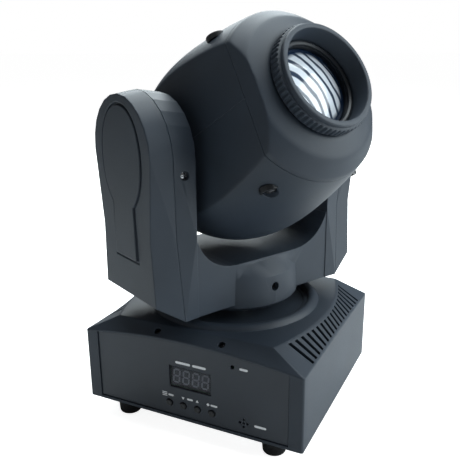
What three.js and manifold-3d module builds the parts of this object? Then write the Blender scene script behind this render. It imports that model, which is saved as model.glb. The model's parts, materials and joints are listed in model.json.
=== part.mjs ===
// Compact moving head spot light. Millimetres, +Z up, fixture front towards -Y.
// Origin: on the pan axis, on the underside of the bottom plate.
// The base carries the yoke on the pan spindle, and the yoke carries the head on two tilt axles.
import * as THREE from 'three';
import { mergeVertices } from 'three/addons/utils/BufferGeometryUtils.js';
import { ConvexGeometry } from 'three/addons/geometries/ConvexGeometry.js';
import Module from 'manifold-3d';

const wasm = await Module();
wasm.setup();

// ---------------------------------------------------------------- driving dimensions
const GAP = 0.3;                    // clearance between touching pieces
const RAD = Math.PI / 180;

const BASE = { width: 160, depth: 145, rim: 51.3, arch: 6.5, roof: 63, wall: 2.6, roofFront: 64 };
const ROOF_EDGE = { atFront: 56.6, bulge: 13.6 };      // half width of the flat roof, and its arc
const PANEL = { halfWidth: 70.5, bottom: 2, drop: 1.2, thick: 2, recess: 0.8, centreX: 1.4 };
const DISPLAY = { width: 30.2, height: 15, z: 30.8 };
const BUTTON = { pitch: 10.6, radius: 2.2, z: 10.6, proud: 1.2 };
const VENT = { count: 18, pitch: 6.2, width: 2.8, firstY: -52.7, outer: 78.8 };
// bottom plate: a pressed round seat for a hanging bracket stands below the rest of the sheet
const PLATE = { under: 0.6, top: 1.6, seat: 32 };
const FOOT = { x: 56, y: 59, height: 13, top: 8.6, bottom: 7.2 };
const RING = { outer: 61, crest: 58, inner: 55, floor: 50.5, top: 66.4, dish: 62.2 };

const PAN = { rest: 63.5, spindle: 12, bore: 8, bearing: 21, pulley: 30, motorX: -46, motorY: 20 };
const YOKE = { inner: 56.5, wall: 2.6, floor: 102.6, bottom: 74.5, waist: 128, screwZ: 166.7 };
// Side outlines of an arm at three distances from the centre: x at the bottom and the top,
// half depths, and heights.
const INNER = { low: 56.5, high: 56.5, bottom: 74.5, foot: 36, waist: 36, half: 36.5, top: 212.5 };
const RIDGE = { low: 67, high: 73, bottom: 74.5, foot: 36.5, waist: 33, half: 35.8, top: 215 };
const FACE = { low: 85, high: 86.6, bottom: 86.6, foot: 32, waist: 29.5, half: 34.6, top: 213 };
const HUB = { radius: 45.2, bottom: 69.6, top: 92, screwZ: 84 };

const TILT = { z: 172.8, rest: 30.4, axle: 8, bore: 5, bearing: 13, pulley: 21, motorZ: 108 };
const HEAD = { seam: 0.15, wall: 2.8, sideRear: 50.2, sideTaper: 0.11, front: 76, rear: -46 };
// radius of the head along the optical axis, counted forwards from the tilt axis
const HEAD_PROFILE = [[-64, 21], [-57, 32], [-50, 40], [-40, 49], [-30, 55.6], [-20, 60.4], [-10, 63.6],
  [10, 65.7], [30, 64.3], [50, 61], [64, 57.8], [76, 54.6]];
// front cap, as [distance forwards, radius]: rear edge, end of the band, front edge, inner end of the cone
const BEZEL = { rear: [76, 54.6], band: [79.4, 53.2], front: [86.6, 45.4], face: [90.4, 34.2], bore: 31.2 };
const FOCUS = {
  rear: 70, knurlFrom: 91.2, knurlTo: 97.8, rim: 101.2,
  knurl: 33.6, rimRadius: 31.8, bore: 28.2, neck: 30.6,
};
const LENS = { cell: 27.8, bore: 25.4, rear: 60, front: 89, glass: 25, glassAt: 82 };
const WHEEL = { radius: 24, thick: 1.2, offset: 25, holes: 7, hole: 5.4, colourAt: 17, goboAt: 24 };
// Screw pockets: each has a radius, and the place of its centre.
const HEAD_SCREW = { radius: 4.6, x: 32.2, along: 58, floor: 48.2 };
const ARM_SCREW = { radius: 3.1, x: 64, y: 37.4 };
const HUB_SCREW = { radius: 3.2 };
const LIP_SCREW = { radius: 2, x: 23.5, y: 68.6, z: 60.2 };

// ---------------------------------------------------------------- materials
const plastic = (colour, roughness = 0.55) =>
  new THREE.MeshStandardMaterial({ color: colour, roughness, metalness: 0 });
const metal = (colour, roughness = 0.35) =>
  new THREE.MeshStandardMaterial({ color: colour, roughness, metalness: 1 });
const SHELL = plastic(0x2b3038);
const PANEL_PAINT = plastic(0x30363e, 0.5);
const RUBBER = plastic(0x15161a, 0.8);
const BUTTON_PLASTIC = plastic(0x17191c, 0.45);
const BOARD = plastic(0x14502c, 0.5);
const WINDOW = plastic(0x3a3d42, 0.2);
const GLASS = new THREE.MeshStandardMaterial({
  color: 0xdfe8ee, roughness: 0.05, transparent: true, opacity: 0.4,
});
const STEEL = metal(0xa8abad);
const ALUMINIUM = metal(0xc3c6c8);
const BRASS = metal(0xb08d4a);
const MOTOR_BLACK = metal(0x2a2a2c, 0.5);

// ---------------------------------------------------------------- solids
function triangleSoup(geometry) {
  const bare = geometry.clone();
  bare.deleteAttribute('normal');
  bare.deleteAttribute('uv');
  const merged = mergeVertices(bare, 1e-4);
  const index = [...merged.index.array];
  const kept = [];
  for (let i = 0; i < index.length; i += 3) {
    const [a, b, c] = index.slice(i, i + 3);
    if (a !== b && b !== c && c !== a) kept.push(a, b, c);
  }
  return { points: merged.attributes.position.array, faces: kept };
}

function signedVolume({ points, faces }) {
  let sum = 0;
  const corner = (k) => new THREE.Vector3().fromArray(points, 3 * k);
  for (let i = 0; i < faces.length; i += 3) {
    sum += corner(faces[i]).dot(corner(faces[i + 1]).cross(corner(faces[i + 2])));
  }
  return sum / 6;
}

function solid(geometry) {
  const soup = triangleSoup(geometry);
  if (signedVolume(soup) < 0) soup.faces.reverse();
  return new wasm.Manifold(new wasm.Mesh({
    numProp: 3,
    vertProperties: new Float32Array(soup.points),
    triVerts: new Uint32Array(soup.faces),
  }));
}

function cut(body, ...tools) {
  return tools.reduce((left, tool) => left.subtract(tool), body);
}

function join(first, ...others) {
  return others.reduce((sum, next) => sum.add(next), first);
}

function toGeometry(body) {
  const mesh = body.getMesh();
  const geometry = new THREE.BufferGeometry();
  geometry.setAttribute('position', new THREE.BufferAttribute(mesh.vertProperties, 3));
  geometry.setIndex(new THREE.BufferAttribute(mesh.triVerts, 1));
  geometry.computeVertexNormals();
  return geometry;
}

function add(group, name, body, material, position = [0, 0, 0]) {
  const mesh = new THREE.Mesh(toGeometry(body), material);
  mesh.name = name;
  mesh.position.set(...position);
  group.add(mesh);
  return mesh;
}

// ---------------------------------------------------------------- shapes
const box = (sx, sy, sz, x = 0, y = 0, z = 0) =>
  solid(new THREE.BoxGeometry(sx, sy, sz).translate(x, y, z));

const between = (x0, x1, y0, y1, z0, z1) =>
  box(x1 - x0, y1 - y0, z1 - z0, (x0 + x1) / 2, (y0 + y1) / 2, (z0 + z1) / 2);

// A turned piece: profile is [radius, height] points that close on themselves, about the named axis.
function turned(axis, profile, { sides = 24, at = [0, 0, 0] } = {}) {
  const points = [...profile, profile[0]].map(([r, h]) => new THREE.Vector2(r, h));
  const geometry = new THREE.LatheGeometry(points, sides);
  if (axis === 'z') geometry.rotateX(Math.PI / 2);
  if (axis === 'x') geometry.rotateZ(-Math.PI / 2);
  return solid(geometry.translate(...at));
}

const rod = (axis, radius, from, to, options) =>
  turned(axis, [[0, from], [radius, from], [radius, to], [0, to]], options);

const tube = (axis, outer, inner, from, to, options) =>
  turned(axis, [[inner, from], [outer, from], [outer, to], [inner, to]], options);

// An outline in a plane, pulled to a thickness: 'xz' is pulled along Y and 'yz' along X.
function pulled(plane, shape, from, to, curveSegments = 12) {
  const geometry = new THREE.ExtrudeGeometry(shape, { depth: to - from, bevelEnabled: false, curveSegments });
  if (plane === 'xz') geometry.rotateX(Math.PI / 2).translate(0, to, 0);
  if (plane === 'yz') geometry.rotateZ(Math.PI / 2).rotateY(Math.PI / 2).translate(from, 0, 0);
  if (plane === 'xy') geometry.translate(0, 0, from);
  return solid(geometry);
}

const outline = (points) => new THREE.Shape(points.map(([x, y]) => new THREE.Vector2(x, y)));

const hull = (points) => solid(new ConvexGeometry(points.map((p) => new THREE.Vector3(...p))));

const steps = (from, to, count) =>
  Array.from({ length: count + 1 }, (_, i) => from + ((to - from) * i) / count);

// ---------------------------------------------------------------- base
const archZ = (x, inset = 0) => BASE.rim - inset + BASE.arch * (1 - (x / (BASE.width / 2)) ** 2);
const roofHalf = (y) => ROOF_EDGE.atFront + ROOF_EDGE.bulge * (1 - (y / BASE.roofFront) ** 2);

function baseBlock(inset, bottom) {
  const half = BASE.width / 2 - inset;
  const deep = BASE.depth / 2 - inset;
  const points = [];
  for (const side of [-1, 1]) {
    for (const x of [-half, half]) points.push([x, side * deep, bottom]);
    for (const x of steps(-half, half, 8)) points.push([x, side * deep, archZ(x, inset)]);
    for (const y of steps(-BASE.roofFront + inset, BASE.roofFront - inset, 8)) {
      points.push([side * (roofHalf(y) - inset), y, BASE.roof - inset]);
    }
  }
  return hull(points);
}

function panelOutline(clear = 0) {
  const half = PANEL.halfWidth - clear;
  const top = steps(half, -half, 8).map((x) => [x, archZ(x) - PANEL.drop - clear]);
  return outline([[-half, PANEL.bottom + clear], [half, PANEL.bottom + clear], ...top]);
}

function ventSlots() {
  const slots = [];
  for (let i = 0; i < VENT.count; i += 1) {
    const y = VENT.firstY + i * VENT.pitch;
    const inner = roofHalf(y) + 1.6;
    for (const side of [-1, 1]) {
      const [low, high] = side > 0 ? [inner, VENT.outer] : [-VENT.outer, -inner];
      slots.push(between(low, high, y - VENT.width / 2, y + VENT.width / 2, 47, 70));
    }
  }
  return slots;
}

function baseCover() {
  const shell = cut(baseBlock(0, 0), baseBlock(BASE.wall, -1));
  const ring = turned('z', [[RING.floor, BASE.roof - 2], [RING.outer, BASE.roof - 2], [RING.outer, BASE.roof],
    [RING.crest, RING.top], [RING.inner, RING.top], [RING.inner - 1, RING.dish], [RING.floor, RING.dish]],
  { sides: 40 });
  const well = rod('z', RING.floor + 0.5, BASE.roof - 4, BASE.roof + 1, { sides: 40 });
  const floor = tube('z', RING.floor + 1.5, PAN.bearing + 0.4, BASE.roof - 5, BASE.roof - 2, { sides: 40 });
  const front = pulled('xz', panelOutline(), -BASE.depth / 2 - 1, -BASE.depth / 2 + 4);
  const back = pulled('xz', panelOutline(), BASE.depth / 2 - 4, BASE.depth / 2 + 1);
  const lips = [-1, 1].flatMap((side) => [-LIP_SCREW.x, LIP_SCREW.x].map((x) =>
    rod('y', LIP_SCREW.radius, -3.2, 3.2, { sides: 10, at: [x, side * LIP_SCREW.y, LIP_SCREW.z] })));
  return cut(join(cut(shell, well), floor, ring), front, back, ...ventSlots(), ...lips);
}

function controlPanel() {
  const from = -BASE.depth / 2 + PANEL.recess;
  const plate = pulled('xz', panelOutline(GAP), from, from + PANEL.thick);
  const cx = PANEL.centreX;
  const window = between(cx - DISPLAY.width / 2 - GAP, cx + DISPLAY.width / 2 + GAP, from - 1, from + 4,
    DISPLAY.z - DISPLAY.height / 2 - GAP, DISPLAY.z + DISPLAY.height / 2 + GAP);
  const buttons = buttonPlaces().map(([x]) =>
    rod('y', BUTTON.radius + 0.4, from - 1, from + 4, { sides: 12, at: [x, 0, BUTTON.z] }));
  const ear = rod('y', 1.4, from - 1, from + 4, { sides: 10, at: [32.4, 0, 47.7] });
  const sound = [[0, 0], [2.6, 0], [-2.6, 0], [0, 2.6], [0, -2.6]].map(([dx, dz]) =>
    rod('y', 0.9, from - 1, from + 4, { sides: 10, at: [40.1 + dx, 0, 9.8 + dz] }));
  return cut(plate, window, ...buttons, ear, ...sound);
}

const buttonPlaces = () => [-1.5, -0.5, 0.5, 1.5].map((k) => [PANEL.centreX + k * BUTTON.pitch]);

function buttonCap() {
  const front = -BASE.depth / 2 + PANEL.recess;
  return turned('y', [[0, front - BUTTON.proud], [BUTTON.radius - 0.4, front - BUTTON.proud],
    [BUTTON.radius, front - BUTTON.proud + 0.4], [BUTTON.radius, front + PANEL.thick + GAP],
    [BUTTON.radius + 0.9, front + PANEL.thick + GAP], [BUTTON.radius + 0.9, front + PANEL.thick + 1.2],
    [0, front + PANEL.thick + 1.2]], { sides: 20 });
}

function controlBoard() {
  const face = -BASE.depth / 2 + PANEL.recess + PANEL.thick;
  const board = between(-48, 52, face + 6.2, face + 7.8, 4, 42);
  const switches = buttonPlaces().map(([x]) =>
    between(x - 3, x + 3, face + 2.4, face + 6.3, BUTTON.z - 3, BUTTON.z + 3));
  const chip = between(20, 34, face + 7.6, face + 9.6, 16, 30);
  const header = between(-40, -22, face + 7.6, face + 14, 12, 18);
  return join(board, ...switches, chip, header);
}

function displayPieces(group) {
  const front = -BASE.depth / 2 + PANEL.recess;
  const cx = PANEL.centreX;
  const z0 = DISPLAY.z - DISPLAY.height / 2;
  const z1 = DISPLAY.z + DISPLAY.height / 2;
  const left = cx - DISPLAY.width / 2;
  const right = cx + DISPLAY.width / 2;
  const window = between(left, right, front + 0.2, front + 1.6, z0, z1);
  const module = between(left, right, front + 1.9, front + 7.6, z0 + 0.5, z1 - 0.5);
  add(group, 'display_window', window, WINDOW);
  add(group, 'display_module', module, BUTTON_PLASTIC);
}

function microphone() {
  const front = -BASE.depth / 2 + PANEL.recess;
  return turned('y', [[0, front + 2.4], [4.6, front + 2.4], [4.6, front + 7.7], [0, front + 7.7]],
    { sides: 12, at: [40.1, 0, 9.8] });
}

const INLET = { x: -44, z: 26, width: 27.5 };
const SOCKET = { z: 27, radius: 12, x: [8, 44] };

function rearPanel() {
  const from = BASE.depth / 2 - PANEL.recess - PANEL.thick;
  const plate = pulled('xz', panelOutline(GAP), from, from + PANEL.thick);
  const inlet = between(INLET.x - INLET.width / 2 - GAP, INLET.x + INLET.width / 2 + GAP, from - 1, from + 4,
    INLET.z - 14, INLET.z + 14);
  const sockets = SOCKET.x.map((x) =>
    rod('y', SOCKET.radius + GAP, from - 1, from + 4, { sides: 20, at: [x, 0, SOCKET.z] }));
  return cut(plate, inlet, ...sockets);
}

// Appliance inlet with three flat blades; the fuse drawer sits below it in the same housing.
function powerInlet() {
  const face = BASE.depth / 2 - PANEL.recess;
  const { x, z, width } = INLET;
  const flange = between(x - 17.5, x + 17.5, face + GAP, face + 2.2, z - 17.5, z + 17.5);
  const housing = between(x - width / 2, x + width / 2, face - 17, face + 1, z - 13.7, z + 13.7);
  const cavity = between(x - 12, x + 12, face - 12, face + 3, z - 3.8, z + 12);
  const drawerBay = between(x - 11, x + 11, face - 9, face + 3, z - 12.4, z - 5.2);
  const blades = [[-7, 2.4], [7, 2.4], [0, 6.4]].map(([dx, dz]) =>
    between(x + dx - 1, x + dx + 1, face - 13, face - 3.4, z + dz - 2, z + dz + 2));
  return join(cut(join(flange, housing), cavity, drawerBay), ...blades);
}

function fuseDrawer() {
  const face = BASE.depth / 2 - PANEL.recess;
  const { x, z } = INLET;
  return join(
    between(x - 10.6, x + 10.6, face - 8.4, face + 2.6, z - 12, z - 5.6),
    between(x - 3, x + 3, face + 2.4, face + 3.4, z - 9.4, z - 8.2),
  );
}

// Three-pole signal socket with a round shroud; the input has pins and the output has holes.
function signalSocket(x, hasPins) {
  const face = BASE.depth / 2 - PANEL.recess;
  const at = [x, 0, SOCKET.z];
  const flange = between(x - 13, x + 13, face + GAP, face + 2.2, SOCKET.z - 15.5, SOCKET.z + 15.5);
  const body = rod('y', SOCKET.radius, face - 16, face + 2.6, { sides: 20, at });
  const places = [90, 210, 330].map((a) => [4.2 * Math.cos(a * RAD), 4.2 * Math.sin(a * RAD)]);
  const well = rod('y', 9.4, face - 12, face + 4, { sides: 18, at });
  if (hasPins) {
    const pins = places.map(([dx, dz]) =>
      rod('y', 1.2, face - 13, face - 6, { sides: 8, at: [x + dx, 0, SOCKET.z + dz] }));
    return join(cut(join(flange, body), well), ...pins);
  }
  const insert = rod('y', 8.2, face - 13, face + 1, { sides: 18, at });
  const holes = places.map(([dx, dz]) =>
    rod('y', 1.5, face - 8, face + 3, { sides: 10, at: [x + dx, 0, SOCKET.z + dz] }));
  return cut(join(cut(join(flange, body), well), insert), ...holes);
}

function bottomPlate() {
  const deep = BASE.depth / 2 - BASE.wall - 0.5;
  const wide = BASE.width / 2 - BASE.wall - 0.6;
  const plate = between(-wide, wide, -deep, deep, PLATE.under, PLATE.top);
  const seat = rod('z', PLATE.seat, 0, PLATE.under + 0.4, { sides: 32 });
  const slots = [-1, 1].flatMap((side) => steps(-24, 24, 6).map((y) =>
    between(side * 62 - 9, side * 62 + 9, y - 1.4, y + 1.4, -1, 3)));
  return cut(join(plate, seat), ...slots);
}

function foot() {
  return turned('z', [[0, -FOOT.height], [FOOT.bottom, -FOOT.height], [FOOT.bottom + 0.6, -FOOT.height + 1],
    [FOOT.top, PLATE.under - GAP], [0, PLATE.under - GAP]], { sides: 18 });
}

// Switched supply: a folded tray that carries its board, transformer and capacitors.
function powerSupply() {
  const tray = cut(between(-26, 64, 10, 50, 2, 22), between(-24.8, 62.8, 11.2, 48.8, 3.2, 23));
  const parts = [between(-18, 4, 16, 38, 3, 21), between(14, 30, 18, 34, 3, 18)];
  const cans = [[42, 20], [42, 34], [52, 28]].map(([x, y]) =>
    rod('z', 4.6, 3, 24, { sides: 12, at: [x, y, 0] }));
  return join(tray, ...parts, ...cans);
}

// Pressed steel deck under the roof that holds the pan bearing and the pan motor.
function panDeck() {
  const deck = between(-70, 40, -44, 44, 52, 53.6);
  const legs = [[-66, -40], [-66, 40], [36, -40]].map(([x, y]) =>
    rod('z', 3, 1.9, 52.4, { sides: 8, at: [x, y, 0] }));
  const hole = rod('z', PAN.bearing + 0.3, 50, 56, { sides: 40 });
  const shaft = rod('z', 7.5, 50, 56, { sides: 24, at: [PAN.motorX, PAN.motorY, 0] });
  return cut(join(deck, ...legs), hole, shaft);
}

function motorCase(width, from, to, shaftTo, sides = 16) {
  const body = cut(box(width, width, to - from, 0, 0, (from + to) / 2),
    ...[[-1, -1], [-1, 1], [1, -1], [1, 1]].map(([sx, sy]) =>
      box(4.5, 4.5, to - from + 2, (sx * width) / 2, (sy * width) / 2, (from + to) / 2)));
  const boss = rod('z', width * 0.3, to - 0.5, to + 1.4, { sides });
  const shaft = rod('z', 2.5, to, shaftTo, { sides: 12 });
  return join(body, boss, shaft);
}

function toothedPulley(axis, radius, bore, from, to, flange = 1.4) {
  const low = from + 1.2;
  const high = to - 1.2;
  return turned(axis, [[bore, from], [radius + flange, from], [radius + flange, low], [radius, low],
    [radius, high], [radius + flange, high], [radius + flange, to], [bore, to]], { sides: 16 });
}

// A toothed belt as a closed band round two pulleys, in the plane of its two centres.
function beltLoop(distance, large, small, thick, width) {
  const loop = (grow) => {
    const angle = Math.acos((large - small) / distance);
    const shape = new THREE.Shape();
    shape.absarc(0, 0, large + grow, angle, -angle + 2 * Math.PI, false);
    shape.absarc(distance, 0, small + grow, -angle, angle, false);
    shape.closePath();
    return shape;
  };
  const band = loop(GAP + thick);
  band.holes.push(new THREE.Path(loop(GAP).getPoints(9)));
  return new THREE.ExtrudeGeometry(band, { depth: width, bevelEnabled: false, curveSegments: 9 });
}

const PAN_BELT_Z = [42.2, 47.8];

function buildBase(root) {
  add(root, 'bottom_plate', bottomPlate(), STEEL);
  add(root, 'base_cover', baseCover(), SHELL);
  add(root, 'control_panel', controlPanel(), PANEL_PAINT);
  displayPieces(root);
  add(root, 'control_board', controlBoard(), BOARD);
  ['menu', 'down', 'up', 'enter'].forEach((name, i) => {
    add(root, `button_${name}`, buttonCap(), BUTTON_PLASTIC, [buttonPlaces()[i][0], 0, BUTTON.z]);
  });
  add(root, 'microphone', microphone(), ALUMINIUM);
  add(root, 'rear_panel', rearPanel(), PANEL_PAINT);
  add(root, 'power_inlet', powerInlet(), BUTTON_PLASTIC);
  add(root, 'fuse_drawer', fuseDrawer(), BUTTON_PLASTIC);
  add(root, 'signal_input', signalSocket(SOCKET.x[0], true), BUTTON_PLASTIC);
  add(root, 'signal_output', signalSocket(SOCKET.x[1], false), BUTTON_PLASTIC);
  add(root, 'power_supply', powerSupply(), ALUMINIUM);
  for (const [end, y] of [['front', -FOOT.y], ['rear', FOOT.y]]) {
    add(root, `foot_${end}_left`, foot(), RUBBER, [-FOOT.x, y, 0]);
    add(root, `foot_${end}_right`, foot(), RUBBER, [FOOT.x, y, 0]);
  }
  add(root, 'pan_deck', panDeck(), STEEL);
  add(root, 'pan_bearing', tube('z', PAN.bearing, PAN.spindle + GAP, 50, 60), STEEL);
  add(root, 'pan_motor', motorCase(35, 6, 38, 50.5), MOTOR_BLACK, [PAN.motorX, PAN.motorY, 0]);
  const pulley = toothedPulley('z', 7, 2.5 + GAP, 41, 49);
  add(root, 'pan_motor_pulley', pulley, ALUMINIUM, [PAN.motorX, PAN.motorY, 0]);
  const distance = Math.hypot(PAN.motorX, PAN.motorY);
  const belt = beltLoop(distance, PAN.pulley, 7, 1.4, PAN_BELT_Z[1] - PAN_BELT_Z[0]);
  belt.rotateZ(Math.atan2(PAN.motorY, PAN.motorX)).translate(0, 0, PAN_BELT_Z[0]);
  add(root, 'pan_belt', solid(belt), RUBBER);
}

// ---------------------------------------------------------------- yoke
// An arm's outline, drawn at its distance from the centre: a round top, a waist, and a wider foot.
function armOutline(side, spec, { inset = 0, shift = 0, upper }) {
  const place = (half, z) => {
    const share = (z - RIDGE.bottom) / (RIDGE.top - RIDGE.bottom);
    return [side * (spec.low + (spec.high - spec.low) * share + shift), half, z];
  };
  const ends = [-1, 1].map((k) => place(k * (spec.waist - inset), YOKE.waist));
  if (!upper) return [...ends, ...[-1, 1].map((k) => place(k * (spec.foot - inset), spec.bottom + inset))];
  const half = spec.half - inset;
  const top = spec.top - inset;
  const spring = spec.top - spec.half - 1;
  const round = steps(0, Math.PI, 12).map((a) =>
    place(half * Math.cos(a), spring + (top - spring) * Math.sin(a)));
  return [...ends, ...round];
}

function armHalf(side, near, far, inset, nearShift, farShift) {
  const piece = (upper) => hull([
    ...armOutline(side, near, { inset, shift: nearShift, upper }),
    ...armOutline(side, far, { inset, shift: farShift, upper }),
  ]);
  return join(piece(true), piece(false));
}

function yokeFrame() {
  const beam = new THREE.Shape();
  beam.moveTo(-57, YOKE.bottom);
  beam.lineTo(57, YOKE.bottom);
  beam.lineTo(57, 124);
  beam.lineTo(YOKE.inner - 0.5, 124);
  beam.quadraticCurveTo(48, YOKE.floor + 1, 26, YOKE.floor);
  beam.lineTo(-26, YOKE.floor);
  beam.quadraticCurveTo(-48, YOKE.floor + 1, -YOKE.inner + 0.5, 124);
  beam.lineTo(-57, 124);
  const bridge = pulled('xz', beam, -INNER.foot + 0.5, INNER.foot - 0.5, 8);
  const hub = turned('z', [[0, HUB.bottom], [HUB.radius - 2.5, HUB.bottom], [HUB.radius, HUB.bottom + 2.5],
    [HUB.radius - 0.6, HUB.top], [HUB.radius - 8, HUB.top + 9], [0, HUB.top + 9]], { sides: 32 });
  const arms = [-1, 1].map((side) => armHalf(side, INNER, RIDGE, 0, 0, 0));
  const cavities = [-1, 1].map((side) => armHalf(side, INNER, RIDGE, YOKE.wall, YOKE.wall, 1));
  const duct = between(-66, 66, -30, 30, YOKE.bottom + YOKE.wall, YOKE.floor - YOKE.wall);
  const spindleHole = rod('z', PAN.spindle + GAP, 60, 90, { sides: 32 });
  const axleHole = rod('x', TILT.bearing + GAP, -62, 62, { sides: 20, at: [0, 0, TILT.z] });
  const armPockets = [-1, 1].flatMap((side) => [-1, 1].map((face) =>
    rod('y', ARM_SCREW.radius, -4, 4,
      { sides: 10, at: [side * ARM_SCREW.x, face * ARM_SCREW.y, YOKE.screwZ] })));
  const hubPockets = [-1, 1].map((face) =>
    rod('y', HUB_SCREW.radius, -5, 5, { sides: 10, at: [0, face * HUB.radius, HUB.screwZ] }));
  const body = cut(join(bridge, hub, ...arms), ...cavities, duct, spindleHole, axleHole);
  return cut(join(body, ...screwBosses()), ...armPockets, ...hubPockets);
}

// Bosses behind the recessed screws on the front and back of the arms and hub.
function screwBosses() {
  const boss = (x, y, z, width, depth) => box(width, depth, width, x, y, z);
  return [-1, 1].flatMap((face) => [
    boss(-ARM_SCREW.x, face * 32, YOKE.screwZ, 8, 6),
    boss(ARM_SCREW.x, face * 32, YOKE.screwZ, 8, 6),
    boss(0, face * 35.5, HUB.screwZ, 10, 13),
  ]);
}

// Raised keyhole pad on the outer face of an arm: an oval with a stem that runs down from it.
function keyhole(grow) {
  const [oval, stem] = [23 + grow, 12 + grow];
  const top = 206.5 + grow;
  const shape = new THREE.Shape();
  shape.moveTo(stem + 1, 112 - grow);
  shape.lineTo(stem, 146);
  shape.bezierCurveTo(stem + 7, 152, oval, 162, oval, 175);
  shape.bezierCurveTo(oval, 195, 13, top, 0, top);
  shape.bezierCurveTo(-13, top, -oval, 195, -oval, 175);
  shape.bezierCurveTo(-oval, 162, -stem - 7, 152, -stem, 146);
  shape.lineTo(-stem - 1, 112 - grow);
  return shape;
}

function armCover(side) {
  const skin = armHalf(side, RIDGE, FACE, 0, GAP, 0);
  const cavity = armHalf(side, RIDGE, FACE, YOKE.wall, -1, -YOKE.wall);
  const slab = (near, far) => (side > 0 ? [near, far] : [-far, -near]);
  const trench = pulled('yz', keyhole(1.6), ...slab(FACE.low - 0.2, FACE.high + 2), 10);
  const pad = pulled('yz', keyhole(0), ...slab(FACE.low - 0.4, FACE.low + 1.6), 10);
  return join(cut(skin, cavity, trench), pad);
}

function tiltPieces(yoke) {
  for (const side of [-1, 1]) {
    const name = side < 0 ? 'left' : 'right';
    const [from, to] = side < 0 ? [-62, -YOKE.inner - 0.6] : [YOKE.inner + 0.6, 62];
    const bearing = tube('x', TILT.bearing, TILT.axle + GAP, from, to, { sides: 20, at: [0, 0, TILT.z] });
    add(yoke, `tilt_bearing_${name}`, bearing, STEEL);
  }
  const motor = motorCase(35, 0, 12, 21);
  const group = new THREE.Group();
  group.position.set(-59.6, 0, TILT.motorZ);
  group.rotation.y = -Math.PI / 2;
  yoke.add(group);
  add(group, 'tilt_motor', motor, MOTOR_BLACK);
  const pulley = toothedPulley('x', 6, 2.5 + GAP, -80, -73.4, 1.2);
  add(yoke, 'tilt_motor_pulley', pulley, ALUMINIUM, [0, 0, TILT.motorZ]);
  const belt = beltLoop(TILT.z - TILT.motorZ, TILT.pulley, 6, 1.3, 4);
  belt.rotateZ(-Math.PI / 2).rotateX(Math.PI / 2).rotateZ(Math.PI / 2).translate(-78.7, 0, TILT.z);
  add(yoke, 'tilt_belt', solid(belt), RUBBER);
}

function buildYoke(yoke) {
  add(yoke, 'yoke_frame', yokeFrame(), SHELL);
  add(yoke, 'arm_cover_left', armCover(-1), SHELL);
  add(yoke, 'arm_cover_right', armCover(1), SHELL);
  const spindle = turned('z', [[PAN.bore, 30], [PAN.spindle, 30], [PAN.spindle, 77.4], [24, 77.4], [24, 80],
    [PAN.bore, 80]], { sides: 32 });
  add(yoke, 'pan_spindle', spindle, ALUMINIUM);
  add(yoke, 'pan_pulley', toothedPulley('z', PAN.pulley, PAN.spindle + GAP, 41, 49), ALUMINIUM);
  tiltPieces(yoke);
}

// ---------------------------------------------------------------- head
// The head's own frame has the optical axis along -Y, so a place s forwards of the tilt axis is at y = -s.
const sideHalf = (s) => HEAD.sideRear - HEAD.sideTaper * (s - 10);

// Everything beyond the two flat flanks, which taper inwards towards the front.
function beyondFlanks(inset) {
  return [-1, 1].map((side) => hull([-70, 110].flatMap((s) => [-70, 70].flatMap((z) =>
    [[side * (sideHalf(s) - inset), -s, z], [side * 90, -s, z]]))));
}

function headBlank(inset) {
  const profile = HEAD_PROFILE.map(([s, r]) => [r - inset, -s]);
  profile[0][1] -= inset;
  const [rear, front] = [profile[0][1], profile.at(-1)[1]];
  return cut(turned('y', [[0, rear], ...profile, [0, front]], { sides: 32 }), ...beyondFlanks(inset));
}

function headShell(upper) {
  const hollow = cut(headBlank(0), headBlank(HEAD.wall));
  const frontPort = rod('y', 45, -HEAD.front - 2, -HEAD.front + 3, { sides: 40 });
  const rearPort = rod('y', 80, -HEAD.rear, 90, { sides: 40 });
  const axleHole = rod('x', TILT.axle + GAP, -60, 60, { sides: 18 });
  const half = upper ? between(-80, 80, -90, 90, -80, HEAD.seam) : between(-80, 80, -90, 90, -HEAD.seam, 80);
  const upright = (radius, low, high) => [-HEAD_SCREW.x, HEAD_SCREW.x].map((x) =>
    rod('z', radius, upper ? low : -high, upper ? high : -low,
      { sides: 12, at: [x, -HEAD_SCREW.along, 0] }));
  const pockets = upright(HEAD_SCREW.radius, HEAD_SCREW.floor, 62);
  const bosses = upright(HEAD_SCREW.radius + 1.8, 42, HEAD_SCREW.floor + 2.4);
  const ribbed = join(hollow, ...bosses.map((boss) => boss.intersect(headBlank(0.5))));
  return cut(ribbed, frontPort, rearPort, axleHole, half, ...pockets);
}

// Front cap: a tapering band and a shallow cone, hollow behind, with the focus ring's bore.
function bezelBlank(inset) {
  const back = -HEAD.front - GAP + inset;
  const edge = ([s, r]) => [r - inset, -s + inset * 0.7];
  const nose = -BEZEL.face[0] + inset;
  return cut(turned('y', [[0, back], [BEZEL.rear[1] - inset, back], edge(BEZEL.band), edge(BEZEL.front),
    [BEZEL.face[1] - inset * 0.4, nose], [0, nose]], { sides: 40 }), ...beyondFlanks(inset - 0.6));
}

function headBezel() {
  const bore = rod('y', BEZEL.bore, -110, -70, { sides: 40 });
  return cut(bezelBlank(0), bezelBlank(HEAD.wall), bore);
}

function rearGrille() {
  const hollow = cut(headBlank(0), headBlank(HEAD.wall));
  const front = between(-80, 80, -120, -HEAD.rear + GAP, -80, 80);
  const slots = steps(-26, 26, 5).map((z) => {
    const reach = Math.sqrt(Math.max(36 ** 2 - z ** 2, 0));
    return between(-reach, reach, 40, 80, z - 1.6, z + 1.6);
  });
  const ribs = [-12, 12].map((x) => between(x - 1.5, x + 1.5, 46.4, 62, -31, 31).intersect(hollow));
  return join(cut(hollow, front, ...slots), ...ribs);
}

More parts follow.
